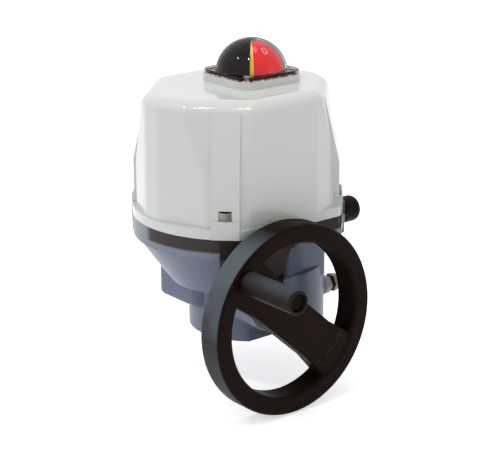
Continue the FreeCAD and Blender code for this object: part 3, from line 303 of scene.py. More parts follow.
@dataclass(frozen=True)
class Finish:
    """What every finish has: a name, a colour and a gloss.

    The roughness varies over the surface between its glossiest and its dullest share.
    """

    name: str
    colour: Colour
    roughness: float = 0.4
    specular: float = 0.5
    glossiest: float = 0.85
    dullest: float = 1.15

    def start(self) -> tuple[bpy.types.Material, NodeTree, Node]:
        """Make the material with its main shader.

        Returns:
            The material, its tree and the Principled node.
        """
        material = bpy.data.materials.new(self.name)
        material.use_nodes = True
        nodes = NodeTree(material.node_tree)
        shader = material.node_tree.nodes["Principled BSDF"]
        shader.inputs["Base Color"].default_value = (*self.colour, 1.0)
        shader.inputs["Roughness"].default_value = self.roughness
        shader.inputs["Specular IOR Level"].default_value = self.specular
        material.diffuse_color = (*self.colour, 1.0)
        return material, nodes, shader

    def relief(self, nodes: NodeTree, shader: Node, height: Socket, depth: float) -> None:
        """Feed a height into the shader's normal.

        Args:
            nodes: the material's tree.
            shader: the Principled node.
            height: the height, from 0 to 1.
            depth: what a height of 1 stands for, in metres.
        """
        bump = nodes.add("ShaderNodeBump", Distance=depth)
        nodes.link(height, bump.inputs["Height"])
        nodes.link(bump.outputs[0], shader.inputs["Normal"])

    def vary_gloss(self, nodes: NodeTree, shader: Node, source: Socket,
                   low: float = 0.0, high: float = 1.0) -> None:
        """Let the roughness vary over the surface.

        Args:
            nodes: the material's tree.
            shader: the Principled node.
            source: what it varies with.
            low: the source's value at the glossiest places.
            high: the source's value at the dullest places.
        """
        dull = min(1.0, self.roughness * self.dullest)
        rough = nodes.span(source, low, high, self.roughness * self.glossiest, dull)
        nodes.link(rough, shader.inputs["Roughness"])

    def material(self) -> bpy.types.Material:
        """Build the material."""
        return self.start()[0]


@dataclass(frozen=True)
class WornFinish(Finish):
    """A grained surface with slow blotches, scuffed along its outer edges."""

    grain: float = 0.00002
    grain_scale: float = 700.0
    blotch_scale: float = 30.0
    scuff: Colour = (0.16, 0.16, 0.16)
    wear: float = 0.35
    edge_width: float = 0.0007
    edge_break: float = 120.0

    def colour_field(self, nodes: NodeTree, shader: Node, blotch: Socket) -> Socket:
        """The finish's own colour, with its slow blotches, before the edges are scuffed."""
        raise NotImplementedError

    def material(self) -> bpy.types.Material:
        """Build the material: colour, scuffed edges, gloss and grain.

        Returns:
            The material.
        """
        material, nodes, shader = self.start()
        grain = use_group(nodes, surface_grain(), Grain_Scale=self.grain_scale,
                          Blotch_Scale=self.blotch_scale)
        edge = use_group(nodes, edge_mask(), Width=self.edge_width, Break_Scale=self.edge_break)
        colour = self.colour_field(nodes, shader, grain.outputs["Blotch"])
        wear_and_sheen = nodes.math("MULTIPLY", edge.outputs["Edge"], self.wear)
        nodes.link(nodes.mix(wear_and_sheen, colour, self.scuff), shader.inputs["Base Color"])
        self.vary_gloss(nodes, shader, grain.outputs["Blotch"])
        self.relief(nodes, shader, grain.outputs["Height"], self.grain)
        return material


@dataclass(frozen=True)
class Paint(WornFinish):
    """Sprayed paint on a casting: a little orange peel, faint blotches, a clear gloss coat."""

    grain: float = 0.00004
    grain_scale: float = 260.0
    blotch_scale: float = 9.0
    scuff: Colour = (0.75, 0.77, 0.76)
    wear: float = 0.25
    edge_width: float = 0.0012
    edge_break: float = 70.0
    coat: float = 0.4
    coat_roughness: float = 0.08
    variation: float = 0.06

    def colour_field(self, nodes: NodeTree, shader: Node, blotch: Socket) -> Socket:
        """The paint's own colour, a shade lighter and darker in slow blotches.

        Args:
            nodes: the material's tree.
            shader: the Principled node, which gets the clear coat.
            blotch: the slow blotches, from 0 to 1.

        Returns:
            The colour.
        """
        shader.inputs["Coat Weight"].default_value = self.coat
        shader.inputs["Coat Roughness"].default_value = self.coat_roughness
        light = tuple(min(1.0, c * (1 + self.variation)) for c in self.colour)
        dark = tuple(c * (1 - self.variation) for c in self.colour)
        return nodes.mix(blotch, dark, light)


@dataclass(frozen=True)
class BandedPaint(Paint):
    """Paint of the lower housing: a dark band of painted shade under the joint, and a paler lip
    of painted light below it.

    The band of painted shade ends at a place along Y. Past an upright plane, corner_at along the
    direction corner, the band is darker and goes on down the slope of the bowl, as painted shade.
    The plane stands along the photograph's line of sight. Each limit has a soft width, which is
    half of the distance that its change takes.
    """

    # band and front are painted shade, lip is painted light
    band: Colour = (0.036, 0.030, 0.028)
    front: Colour = (0.010, 0.0035, 0.0030)
    lip: Colour = (0.185, 0.212, 0.262)
    band_low: float = 0.1035
    band_soft: float = 0.0010
    end_y: float = 0.0080
    end_soft: float = 0.004
    corner: Point = (0.778, -0.628, 0.0)
    corner_at: float = -0.030
    corner_soft: float = 0.001
    slope_x: float = -0.013
    slope_x_soft: float = 0.004
    slope_low: float = 0.062
    slope_low_soft: float = 0.002
    lip_low: float = 0.0972
    lip_soft: float = 0.0006

    def colour_field(self, nodes: NodeTree, shader: Node, blotch: Socket) -> Socket:
        """The paint's colour, with the band mixed in, which has no clear coat.

        Args:
            nodes: the material's tree.
            shader: the Principled node, which gets the clear coat.
            blotch: the slow blotches, from 0 to 1.

        Returns:
            The colour.
        """
        base = Paint.colour_field(self, nodes, shader, blotch)
        place = nodes.add("ShaderNodeTexCoord").outputs["Object"]
        x, y, z = nodes.split(place)
        # mask of the band of painted shade, above band_low and short of end_y
        band = nodes.math("MULTIPLY", nodes.step(z, self.band_low, self.band_soft),
                          nodes.step(y, self.end_y, self.end_soft, rising=False))
        along = nodes.vector_math("DOT_PRODUCT", place, self.corner).outputs["Value"]
        # mask of the dark front of painted shade, past the upright plane and down the slope
        front = nodes.step(along, self.corner_at, self.corner_soft)
        slope = nodes.math("MULTIPLY", front,
                           nodes.step(x, self.slope_x, self.slope_x_soft, rising=False))
        slope = nodes.math("MULTIPLY", slope, nodes.step(z, self.slope_low, self.slope_low_soft))
        dark = nodes.math("MAXIMUM", band, slope)
        # the paler lip is painted light
        lit = nodes.mix(nodes.step(z, self.lip_low, self.lip_soft), base, self.lip)
        nodes.link(nodes.span(dark, 0.0, 1.0, self.coat, 0.0), shader.inputs["Coat Weight"])
        return nodes.mix(dark, lit, nodes.mix(front, self.band, self.front))


@dataclass(frozen=True)
class Steel(Finish):
    """Turned or brushed metal with fine streaks and small stains."""

    glossiest: float = 0.7
    dullest: float = 1.3
    streak: float = 900.0
    stain: float = 0.25
    stain_scale: float = 45.0
    depth: float = 0.00001

    def material(self) -> bpy.types.Material:
        """Build the material: stained metal whose gloss follows the streaks.

        Returns:
            The material.
        """
        material, nodes, shader = self.start()
        shader.inputs["Metallic"].default_value = 1.0
        grain = use_group(nodes, surface_grain(), Grain_Scale=self.streak,
                          Blotch_Scale=self.stain_scale)
        dark = tuple(c * (1 - self.stain) for c in self.colour)
        stain_and_sheen = nodes.mix(grain.outputs["Blotch"], dark, self.colour)
        nodes.link(stain_and_sheen, shader.inputs["Base Color"])
        self.vary_gloss(nodes, shader, grain.outputs["Height"], NOISE_LOW, NOISE_HIGH)
        self.relief(nodes, shader, grain.outputs["Height"], self.depth)
        return material


@dataclass(frozen=True)
class Plastic(WornFinish):
    """Moulded plastic or rubber with a fine grain and scuffed edges.

    The blotches are paler by the factor fade and by the amount haze.
    """

    dullest: float = 1.2
    fade: float = 1.25
    haze: float = 0.001

    def colour_field(self, nodes: NodeTree, shader: Node, blotch: Socket) -> Socket:
        """The moulding's colour, a little paler in slow blotches."""
        pale = tuple(min(1.0, c * self.fade + self.haze) for c in self.colour)
        return nodes.mix(blotch, self.colour, pale)


@dataclass(frozen=True)
class RimPaint(Plastic):
    """Coarse black paint of the handwheel, with a painted grey sheen round the outside of the
    rim.

    Beyond the sheen radius from the axis the rim is grey, a painted sheen: lighter in its upper
    part, darker below. The grey fades out across X, from grey_x, where it is full, to black_x.
    """

    axis: Point = (-0.042, 0.0, 0.0405)
    sheen_r: float = 0.0892
    sheen_soft: float = 0.0005
    # the two greys are a painted sheen, lighter in the upper part and darker below
    wear_and_sheen: Colour = (0.090, 0.112, 0.130)
    stain_and_sheen: Colour = (0.046, 0.040, 0.047)
    sheen_height: float = 0.045
    patch_scale: float = 28.0
    patch_shift: float = 0.02
    grey_x: float = -0.052
    black_x: float = -0.020

    def colour_field(self, nodes: NodeTree, shader: Node, blotch: Socket) -> Socket:
        """The black, with the rubbed outside mixed in by the distance from the wheel's axis.

        Args:
            nodes: the material's tree.
            shader: the Principled node.
            blotch: the slow blotches, from 0 to 1.

        Returns:
            The colour.
        """
        black = Plastic.colour_field(self, nodes, shader, blotch)
        place = nodes.add("ShaderNodeTexCoord").outputs["Object"]
        middle = nodes.vector_math("SUBTRACT", place, self.axis).outputs[0]
        flat = nodes.vector_math("MULTIPLY", middle, (1.0, 0.0, 1.0)).outputs[0]
        reach = nodes.vector_math("LENGTH", flat).outputs["Value"]
        outside = nodes.span(reach, self.sheen_r, self.sheen_r + self.sheen_soft, 0.0, 1.0)
        patches = nodes.add("ShaderNodeTexNoise", Scale=self.patch_scale, Detail=4.0,
                            Roughness=0.6)
        nodes.link(place, patches.inputs["Vector"])
        x, _, z = nodes.split(flat)
        # the limit between the lighter and the darker part of the painted sheen wanders up
        # and down in patches
        shift = nodes.span(patches.outputs[0], NOISE_LOW, NOISE_HIGH,
                           -self.patch_shift, self.patch_shift)
        upper = nodes.span(nodes.math("ADD", z, shift), 0.0, self.sheen_height, 0.0, 1.0)
        grey = nodes.mix(upper, self.stain_and_sheen, self.wear_and_sheen)
        # the painted sheen fades out towards +X, so it lies on the wheel's -X side
        side = nodes.span(x, self.grey_x, self.black_x, 1.0, 0.0)
        return nodes.mix(nodes.math("MULTIPLY", outside, side), black, grey)


@dataclass(frozen=True)
class GripPlastic(Plastic):
    """Black plastic of the handle, with a painted sheen of soft grey along its upper side.

    The grey starts at low_z and is full at high_z. It stops at the handle's end, and fades
    from full_y to the share least at faint_y, towards the wheel.
    """

    # colour of the painted sheen on the upper side
    top_sheen: Colour = (0.052, 0.060, 0.069)
    low_z: float = 0.0905
    high_z: float = 0.0990
    end_y: float = -0.1775
    end_soft: float = 0.0005
    full_y: float = -0.150
    faint_y: float = -0.118
    least: float = 0.35

    def colour_field(self, nodes: NodeTree, shader: Node, blotch: Socket) -> Socket:
        """The black, with the painted sheen mixed in by height, away from the handle's end.

        Args:
            nodes: the material's tree.
            shader: the Principled node.
            blotch: the slow blotches, from 0 to 1.

        Returns:
            The colour.
        """
        black = Plastic.colour_field(self, nodes, shader, blotch)
        _, y, z = nodes.split(nodes.add("ShaderNodeTexCoord").outputs["Object"])
        upper = nodes.span(z, self.low_z, self.high_z, 0.0, 1.0)
        along = nodes.step(y, self.end_y, self.end_soft)
        fading = nodes.span(y, self.full_y, self.faint_y, 1.0, self.least)
        # mask of the painted sheen along the handle's upper side
        sheen_mask = nodes.math("MULTIPLY", nodes.math("MULTIPLY", upper, along), fading)
        return nodes.mix(sheen_mask, black, self.top_sheen)


@dataclass(frozen=True)
class Speckle(Finish):
    """Dark gasket seen through clear plastic, with painted reflections as red and pale glints.

    Each cell draws two values from 0 to 1, and turns red or pale where they pass the limits.
    """

    # red and pale are the colours of painted reflections
    red: Colour = (0.50, 0.15, 0.15)
    red_from: float = 0.35
    red_full: float = 0.50
    pale: Colour = (0.88, 0.80, 0.79)
    pale_from: float = 0.70
    pale_full: float = 0.85
    cell: float = 650.0
    depth: float = 0.0001

    def material(self) -> bpy.types.Material:
        """Build the material.

        Returns:
            The material.
        """
        material, nodes, shader = self.start()
        place = nodes.add("ShaderNodeTexCoord")
        cells = nodes.add("ShaderNodeTexVoronoi", Scale=self.cell)
        nodes.link(place.outputs["Object"], cells.inputs["Vector"])
        first, second, third = nodes.split(cells.outputs["Color"])
        # the red and pale cells are painted reflections in the plate
        reddish = nodes.span(first, self.red_from, self.red_full, 0.0, 1.0)
        glint = nodes.span(second, self.pale_from, self.pale_full, 0.0, 1.0)
        dark = nodes.mix(reddish, self.colour, self.red)
        nodes.link(nodes.mix(glint, dark, self.pale), shader.inputs["Base Color"])
        self.relief(nodes, shader, third, self.depth)
        return material


@dataclass(frozen=True)
class Clear(Finish):
    """Clear moulded plastic, with the faintest waviness."""

    ior: float = 1.33
    wave_scale: float = 60.0
    wave: float = 0.000003

    def material(self) -> bpy.types.Material:
        """Build the material.

        Returns:
            The material.
        """
        material, nodes, shader = self.start()
        shader.inputs["Transmission Weight"].default_value = 1.0
        shader.inputs["IOR"].default_value = self.ior
        grain = use_group(nodes, surface_grain(), Grain_Scale=self.wave_scale)
        self.relief(nodes, shader, grain.outputs["Height"], self.wave)
        return material


@dataclass(frozen=True)
class Board(Finish):
    """Coated circuit board with a net of tracks."""

    copper: Colour = (0.10, 0.30, 0.12)
    track_scale: float = 180.0
    track: float = 0.02
    track_edge: float = 0.06
    depth: float = 0.00005

    def material(self) -> bpy.types.Material:
        """Build the material.

        Returns:
            The material.
        """
        material, nodes, shader = self.start()
        place = nodes.add("ShaderNodeTexCoord")
        tracks = nodes.add("ShaderNodeTexVoronoi", distance="MANHATTAN",
                           feature="DISTANCE_TO_EDGE", Scale=self.track_scale)
        nodes.link(place.outputs["Object"], tracks.inputs["Vector"])
        mask = nodes.span(tracks.outputs["Distance"], self.track, self.track_edge, 1.0, 0.0)
        nodes.link(nodes.mix(mask, self.colour, self.copper), shader.inputs["Base Color"])
        self.relief(nodes, shader, mask, self.depth)
        return material


FINISHES: dict[str, Finish] = {finish.name: finish for finish in (
    Paint("cover_paint", (0.592, 0.608, 0.588), 0.34, wear=0.0, coat=0.6, variation=0.02,
          coat_roughness=0.05),
    BandedPaint("base_paint", (0.124, 0.147, 0.224), 0.46, 0.2, scuff=(0.24, 0.27, 0.34),
                coat=0.25, grain=0.00008, grain_scale=320.0),
    Steel("bright_steel", (0.60, 0.59, 0.57), 0.28),
    Steel("dark_steel", (0.16, 0.16, 0.17), 0.4),
    Steel("machined_steel", (0.52, 0.52, 0.53), 0.3),
    Steel("bronze", (0.58, 0.38, 0.16), 0.35),
    Plastic("gear_plastic", (0.74, 0.71, 0.62), 0.45, scuff=(0.8, 0.8, 0.75)),
    Plastic("seal_rubber", (0.020, 0.020, 0.021), 0.7),
    Clear("clear_dome", (0.97, 0.97, 0.97), 0.02, 0.3),
    Plastic("black_mask", (0.004, 0.002, 0.002), 0.4, 0.0, grain=0.000004, wear=0.0),
    Plastic("red_sector", (0.80, 0.004, 0.008), 0.5, 0.0, grain=0.000006, wear=0.0),
    Plastic("yellow_sector", (0.90, 0.58, 0.05), 0.5, 0.1, grain=0.000006, wear=0.0),
    Plastic("black_plastic", (0.007, 0.0022, 0.0018), 0.42, 0.06),
    RimPaint("wheel_paint", (0.0075, 0.0022, 0.0018), 0.5, 0.05, grain=0.00007, grain_scale=520.0,
             scuff=(0.14, 0.13, 0.13), wear=0.6),
    GripPlastic("handle_plastic", (0.013, 0.0085, 0.0078), 0.38, 0.06, grain=0.00004,
                scuff=(0.12, 0.12, 0.12)),
    Plastic("pin_steel", (0.007, 0.003, 0.0025), 0.5, 0.04, wear=0.0),
    Speckle("gasket_glints", (0.11, 0.07, 0.07), 0.35),
    Steel("stained_steel", (0.23, 0.185, 0.17), 0.36, stain=0.4),
    Plastic("smoked_screw", (0.30, 0.22, 0.22), 0.3, wear=0.0),
    Steel("screw_steel", (0.34, 0.31, 0.30), 0.24, stain=0.5),
    Steel("sheet_metal", (0.56, 0.57, 0.56), 0.36),
    Steel("lid_metal", (0.52, 0.53, 0.54), 0.5),
    Steel("motor_metal", (0.30, 0.31, 0.33), 0.35),
    Board("board_green", (0.015, 0.12, 0.04), 0.35),
    Plastic("terminal_grey", (0.25, 0.33, 0.26), 0.5),
    Plastic("component_black", (0.03, 0.03, 0.035), 0.45),
    Steel("heater_metal", (0.48, 0.48, 0.49), 0.45),
    Plastic("number_pale", (0.90, 0.36, 0.30), 0.5, 0.1, grain=0.000004, wear=0.0),
    Plastic("number_black", (0.01, 0.01, 0.01), 0.4, grain=0.000004, wear=0.0),
)}


class Paintshop:
    """Makes each finish once and puts it on pieces."""

    def __init__(self) -> None:
        """Start with nothing mixed."""
        self.made: dict[str, bpy.types.Material] = {}

    def get(self, name: str) -> bpy.types.Material:
        """Make a finish on its first use, and keep it for the next.

        Args:
            name: the finish's name.

        Returns:
            Its material.
        """
        if name not in self.made:
            self.made[name] = FINISHES[name].material()
        return self.made[name]

    def dress(self, piece: Piece, name: str) -> None:
        """Put one finish all over a piece."""
        piece.data.materials.clear()
        piece.data.materials.append(self.get(name))


# Hand tools


class Bench:
    """The hand tools: each one works on a piece through Blender's operators."""

    # vertices nearer to each other than this are one, on a turned piece and on a node's copy
    TURNED_MERGE = 0.01 * MM
    NODE_MERGE = 0.002 * MM

    @staticmethod
    def clear() -> None:
        """Leave edit mode and select nothing."""
        if bpy.context.object and bpy.context.object.mode != "OBJECT":
            bpy.ops.object.mode_set(mode="OBJECT")
        bpy.ops.object.select_all(action="DESELECT")

    @staticmethod
    def pick(piece: Piece) -> None:
        """Select one piece and make it the active one.

        Args:
            piece: the piece.
        """
        Bench.clear()
        piece.select_set(True)
        bpy.context.view_layer.objects.active = piece

    @staticmethod
    def name(piece: Piece, name: str) -> Piece:
        """Give a piece and its mesh their name.

        Args:
            piece: the piece.
            name: the name.

        Returns:
            The piece.
        """
        piece.name = name
        piece.data.name = name
        return piece

    @staticmethod
    def settle(piece: Piece) -> None:
        """Move the piece's place into its mesh."""
        Bench.pick(piece)
        bpy.ops.object.transform_apply(location=True, rotation=True, scale=True)

    @staticmethod
    def edit_all(piece: Piece) -> None:
        """Open a piece in edit mode with all of it selected.

        Args:
            piece: the piece.
        """
        Bench.pick(piece)
        bpy.ops.object.mode_set(mode="EDIT")
        bpy.ops.mesh.select_all(action="SELECT")

    @staticmethod
    def done() -> None:
        """Close edit mode."""
        bpy.ops.object.mode_set(mode="OBJECT")

    @staticmethod
    def apply(piece: Piece, kind: str, **settings: object) -> None:
        """Add a modifier and apply it.

        Args:
            piece: the piece that gets it.
            kind: the modifier's type.
            settings: its properties.
        """
        Bench.pick(piece)
        modifier = piece.modifiers.new(kind.lower(), kind)
        for key, value in settings.items():
            setattr(modifier, key, value)
        bpy.ops.object.modifier_apply(modifier=modifier.name)

    @staticmethod
    def soften(piece: Piece, rounding: Rounding) -> None:
        """Round the sharp edges, then shade the flat faces flat.

        Args:
            piece: the piece to finish.
            rounding: the rounding of its edges.
        """
        angle = math.radians(rounding.degrees)
        Bench.apply(piece, "BEVEL", width=rounding.width, segments=rounding.segments,
                    limit_method="ANGLE", angle_limit=angle, use_clamp_overlap=True)
        Bench.pick(piece)
        bpy.ops.object.shade_smooth_by_angle(angle=angle)
        Bench.apply(piece, "WEIGHTED_NORMAL", keep_sharp=True)

    @staticmethod
    def grow(piece: Piece, factor: float, centre: Point) -> None:
        """Scale the whole piece evenly about a point.

        Args:
            piece: the piece.
            factor: how much larger it gets.
            centre: the point that stays.
        """
        Bench.edit_all(piece)
        bpy.ops.transform.resize(value=(factor, factor, factor), center_override=centre)
        Bench.done()

    @staticmethod
    def profile(name: str, points: list[Point]) -> Piece:
        """Draw a line through points, by extruding one vertex from each point to the next.

        Args:
            name: the piece's name.
            points: the points, in metres.

        Returns:
            The open line.
        """
        Bench.clear()
        # a small plane, merged to the one vertex that the line starts from
        bpy.ops.mesh.primitive_plane_add(size=MM, location=points[0])
        piece = Bench.name(bpy.context.object, name)
        Bench.settle(piece)
        Bench.edit_all(piece)
        bpy.ops.mesh.merge(type="CENTER")
        for before, after in zip(points, points[1:]):
            step = Vector(after) - Vector(before)
            bpy.ops.mesh.extrude_vertices_move(TRANSFORM_OT_translate={"value": step})
        Bench.done()
        return piece

    @staticmethod
    def turn(name: str, outline: list[tuple[float, float]], centre: Point,
             steps: int) -> Piece:
        """Turn an outline of radius and height round an upright axis, as on a lathe.

        Args:
            name: the piece's name.
            outline: pairs of radius and height, in metres.
            centre: the point on the axis where the height is 0.
            steps: flats round the piece.

        Returns:
            The turned piece, with its faces outwards.
        """
        middle = Vector(centre)
        points = [tuple(middle + Vector((r, 0.0, height))) for r, height in outline]
        piece = Bench.profile(name, points)
        Bench.edit_all(piece)
        bpy.ops.mesh.spin(steps=steps, dupli=False, angle=math.tau, use_auto_merge=True,
                          center=centre, axis=(0.0, 0.0, 1.0))
        bpy.ops.mesh.select_all(action="SELECT")
        bpy.ops.mesh.remove_doubles(threshold=Bench.TURNED_MERGE)
        bpy.ops.mesh.normals_make_consistent(inside=False)
        Bench.done()
        return piece

    @staticmethod
    def copy_node(node: str, name: str) -> Piece:
        """Copy a node of the fixed frame into a new piece, with its vertices merged.

        Args:
            node: the node's name.
            name: the new piece's name.

        Returns:
            The copy, which stands for the node.
        """
        source = frame["nodes"][node]
        piece = bpy.data.objects.new(name, source.data.copy())
        piece.data.name = name
        bpy.context.scene.collection.objects.link(piece)
        Bench.edit_all(piece)
        bpy.ops.mesh.remove_doubles(threshold=Bench.NODE_MERGE)
        bpy.ops.mesh.select_all(action="SELECT")
        bpy.ops.mesh.customdata_custom_splitnormals_clear()
        Bench.done()
        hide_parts(node)
        return piece

    @staticmethod
    def join(name: str, pieces: list[Piece]) -> Piece:
        """Join pieces into one.

        Args:
            name: the joined piece's name.
            pieces: what goes in it.

        Returns:
            The joined piece.
        """
        Bench.clear()
        for piece in pieces:
            piece.select_set(True)
        bpy.context.view_layer.objects.active = pieces[0]
        bpy.ops.object.join()
        return Bench.name(pieces[0], name)

    @staticmethod
    def fuse(piece: Piece, tool: Piece, joining: Joining = Joining.FUSE) -> None:
        """Fuse or cut a piece with a tool, which is used up."""
        Bench.apply(piece, "BOOLEAN", object=tool, operation=joining.value, solver="EXACT")
        bpy.data.objects.remove(tool)


# Sub-assemblies


@dataclass
class Assembly:
    """What the sub-assemblies share: the paintshop and how a piece is handed over."""

    paints: Paintshop

    def hand_over(self, piece: Piece, body: str, finish: str, nodes: tuple[str, ...] = (),
                  slot: str | None = None) -> None:
        """Dress a finished piece, hang it on its body and report it.

        Args:
            piece: the finished piece.
            body: the body that it moves with.
            finish: the name of its finish.
            nodes: nodes of the frame that it stands for, if it is no copy of one.
            slot: not used; the record's slot, if it isn't named as the finish.
        """
        self.paints.dress(piece, finish)
        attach(piece, body)
        if nodes:
            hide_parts(*nodes)
        log.info("%s rides on %s, %d faces", piece.name, body, len(piece.data.polygons))

    def refine(self, node: str, name: str, body: str, finish: str, rounding: Rounding,
               slot: str | None = None, shape: Callable[[Piece], None] | None = None) -> None:
        """Copy a node, shape the copy, round its edges and hand it over.

        Args:
            node: the node of the frame.
            name: the piece's name.
            body: the body that it moves with.
            finish: the name of its finish.
            rounding: the rounding of its edges.
            slot: the record's slot, if it isn't named as the finish.
            shape: what changes the copy before its edges are rounded, if anything does.
        """
        piece = Bench.copy_node(node, name)
        if shape:
            shape(piece)
        Bench.soften(piece, rounding)
        self.hand_over(piece, body, finish, slot=slot)


@dataclass
class Casing(Assembly):
    """Lower housing, cover and the four cover screws."""

    body_x: float = -18.0 * MM
    screw_ring: float = 92.5 * MM
    ledge_z: float = 133.0 * MM
    head_r: float = 6.5 * MM
    head_h: float = 8.0 * MM
    knurls: int = 30
    knurl_gap: float = 0.18 * MM
    knurl_depth: float = 0.25 * MM
    socket_r: float = 3.4 * MM
    socket_depth: float = 4.5 * MM
    shank_r: float = 3.9 * MM
    tip_r: float = 3.2 * MM
    tip_at: float = -28.0 * MM
    shank_end: float = -29.0 * MM
    shank_sunk: float = 0.5 * MM
    shank_steps: int = 24

    def build(self) -> None:
        """Make every piece of the casing."""
        self.refine("base_housing", "housing_shell", "root", "base_paint",
                    Rounding(1.0 * MM, 3, 28.0))
        self.refine("cover", "cover_shell", "root", "cover_paint", Rounding(1.1 * MM, 3, 24.0))
        screws = [self.screw(45.0 + 90.0 * turn) for turn in range(4)]
        self.hand_over(Bench.join("cover_screw_set", screws), "root", "screw_steel",
                       ("cover_screws",), "bright_steel")

    def screw(self, degrees: float) -> Piece:
        """One socket head screw with a knurled head.

        Args:
            degrees: where it stands on the screw circle.

        Returns:
            The screw.
        """
        angle = math.radians(degrees)
        x = self.body_x + self.screw_ring * math.cos(angle)
        y = self.screw_ring * math.sin(angle)
        r, h = self.head_r, self.head_h
        bpy.ops.mesh.primitive_cylinder_add(vertices=2 * self.knurls, radius=r, depth=h,
                                            location=(x, y, self.ledge_z + h / 2))
        head = bpy.context.object
        Bench.settle(head)
        self.knurl(head)
        self.sink_socket(head, (x, y, self.ledge_z + h))
        outline = [(0.0, 0.0), (self.shank_r, 0.0), (self.shank_r, self.tip_at),
                   (self.tip_r, self.shank_end), (0.0, self.shank_end)]
        shank = Bench.turn("shank", outline, (x, y, self.ledge_z + self.shank_sunk),
                           self.shank_steps)
        return Bench.join("cover_screw", [head, shank])

    def knurl(self, head: Piece) -> None:
        """Press every flat round the head inwards, clear of its edges.

        Args:
            head: the head, as a many-sided cylinder on Z.
        """
        Bench.edit_all(head)
        bpy.ops.mesh.select_mode(type="FACE")
        bpy.ops.mesh.select_all(action="DESELECT")
        Bench.done()
        for polygon in head.data.polygons:
            # the flats look sideways, and the two ends up and down
            polygon.select = abs(polygon.normal.z) < 0.5
        bpy.ops.object.mode_set(mode="EDIT")
        bpy.ops.mesh.inset(thickness=self.knurl_gap, depth=-self.knurl_depth,
                           use_individual=True)
        bpy.ops.mesh.select_mode(type="VERT")
        Bench.done()

    def sink_socket(self, head: Piece, top: Point) -> None:
        """Cut the hexagon socket into the head.

        Args:
            head: the head.
            top: the centre of its upper face.
        """
        bpy.ops.mesh.primitive_cylinder_add(vertices=6, radius=self.socket_r,
                                            depth=2 * self.socket_depth, location=top)
        tool = bpy.context.object
        Bench.settle(tool)
        Bench.fuse(head, tool, Joining.CUT)


@dataclass
class Indicator(Assembly):
    """Clear dome with its plate, the black mask and the turning sectors."""

    centre: Point = (0.0, 0.0, 244.0 * MM)
    fine: Rounding = Rounding(0.15 * MM, 1, 35.0)
    plate_top: float = 249.0 * MM
    plate_slack: float = 0.1 * MM
    head_share: float = 0.3
    mask_r: float = 32.65 * MM
    mask_reach: float = 33.5 * MM
    rotor_r: float = 30.95 * MM
    number_size: float = 8.5 * 1.35 * MM
    number_lift: float = 50.0
    number_gap: float = 0.12 * MM

    def build(self) -> None:
        """Make every piece of the indicator."""
        self.refine("indicator_dome", "clear_dome_shell", "root", "clear_dome",
                    Rounding(0.4 * MM, 2, 35.0))
        for node, name, body, finish, slot, shape in (
                ("indicator_mask", "mask_shell", "root", "black_mask", None, self.bond_mask),
                ("dome_seal", "dome_gasket", "root", "gasket_glints", "seal_rubber", None),
                ("dome_screws", "dome_screw_set", "root", "smoked_screw", "bright_steel",
                 self.lower_heads),
                ("indicator_red", "red_quarters", "output", "red_sector", None, None),
                ("indicator_yellow", "yellow_quarters", "output", "yellow_sector", None, None),
                ("indicator_hub", "rotor_hub", "output", "black_plastic", None, None)):
            self.refine(node, name, body, finish, self.fine, slot, shape)
        for text, azimuths, finish, slot in (
                ("0", (-92.0, 88.0), "number_pale", "red_sector"),
                ("90", (-170.0, 10.0), "number_black", "yellow_sector")):
            for azimuth in azimuths:
                self.number(text, azimuth, finish, slot)

    def bond_mask(self, mask: Piece) -> None:
        """Push the mask out to the inside of the dome, so that it looks black to the outline."""
        Bench.grow(mask, self.mask_reach / self.mask_r, self.centre)

    def lower_heads(self, screws: Piece) -> None:
        """Turn the round heads of the plate's screws into flat ones, by pressing them down.

        Args:
            screws: the screws.
        """
        Bench.edit_all(screws)
        bpy.ops.mesh.select_all(action="DESELECT")
        Bench.done()
        for vertex in screws.data.vertices:
            vertex.select = vertex.co.z > self.plate_top - self.plate_slack
        bpy.ops.object.mode_set(mode="EDIT")
        bpy.ops.transform.resize(value=(1.0, 1.0, self.head_share),
                                 center_override=(0.0, 0.0, self.plate_top))
        Bench.done()

    def number(self, text: str, azimuth: float, finish: str, slot: str) -> None:
        """One plain number laid on the round of a sector.

        Args:
            text: the number.
            azimuth: where it stands round the dome, in degrees.
            finish: its finish.
            slot: the record's slot.
        """
        Bench.clear()
        bpy.ops.object.text_add()
        label = bpy.context.object
        label.data.body = text
        label.data.align_x = "CENTER"
        label.data.align_y = "CENTER"
        label.data.size = self.number_size
        label.data.resolution_u = 6
        bpy.ops.object.convert(target="MESH")
        label = Bench.name(bpy.context.object,
                           f"number_{text}_{'front' if azimuth < 0 else 'rear'}")
        Bench.edit_all(label)
        bpy.ops.mesh.subdivide(number_cuts=2)
        Bench.done()
        middle = math.radians(self.number_lift)
        out = self.rotor_r + self.number_gap
        for vertex in label.data.vertices:
            lift = middle + vertex.co.y / self.rotor_r
            around = math.radians(azimuth) + vertex.co.x / (self.rotor_r * math.cos(middle))
            outwards = Vector((math.cos(lift) * math.cos(around),
                               math.cos(lift) * math.sin(around), math.sin(lift)))
            vertex.co = Vector(self.centre) + out * outwards
        Bench.apply(label, "SOLIDIFY", thickness=self.number_gap, offset=1.0)
        self.hand_over(label, "output", finish, slot=slot)


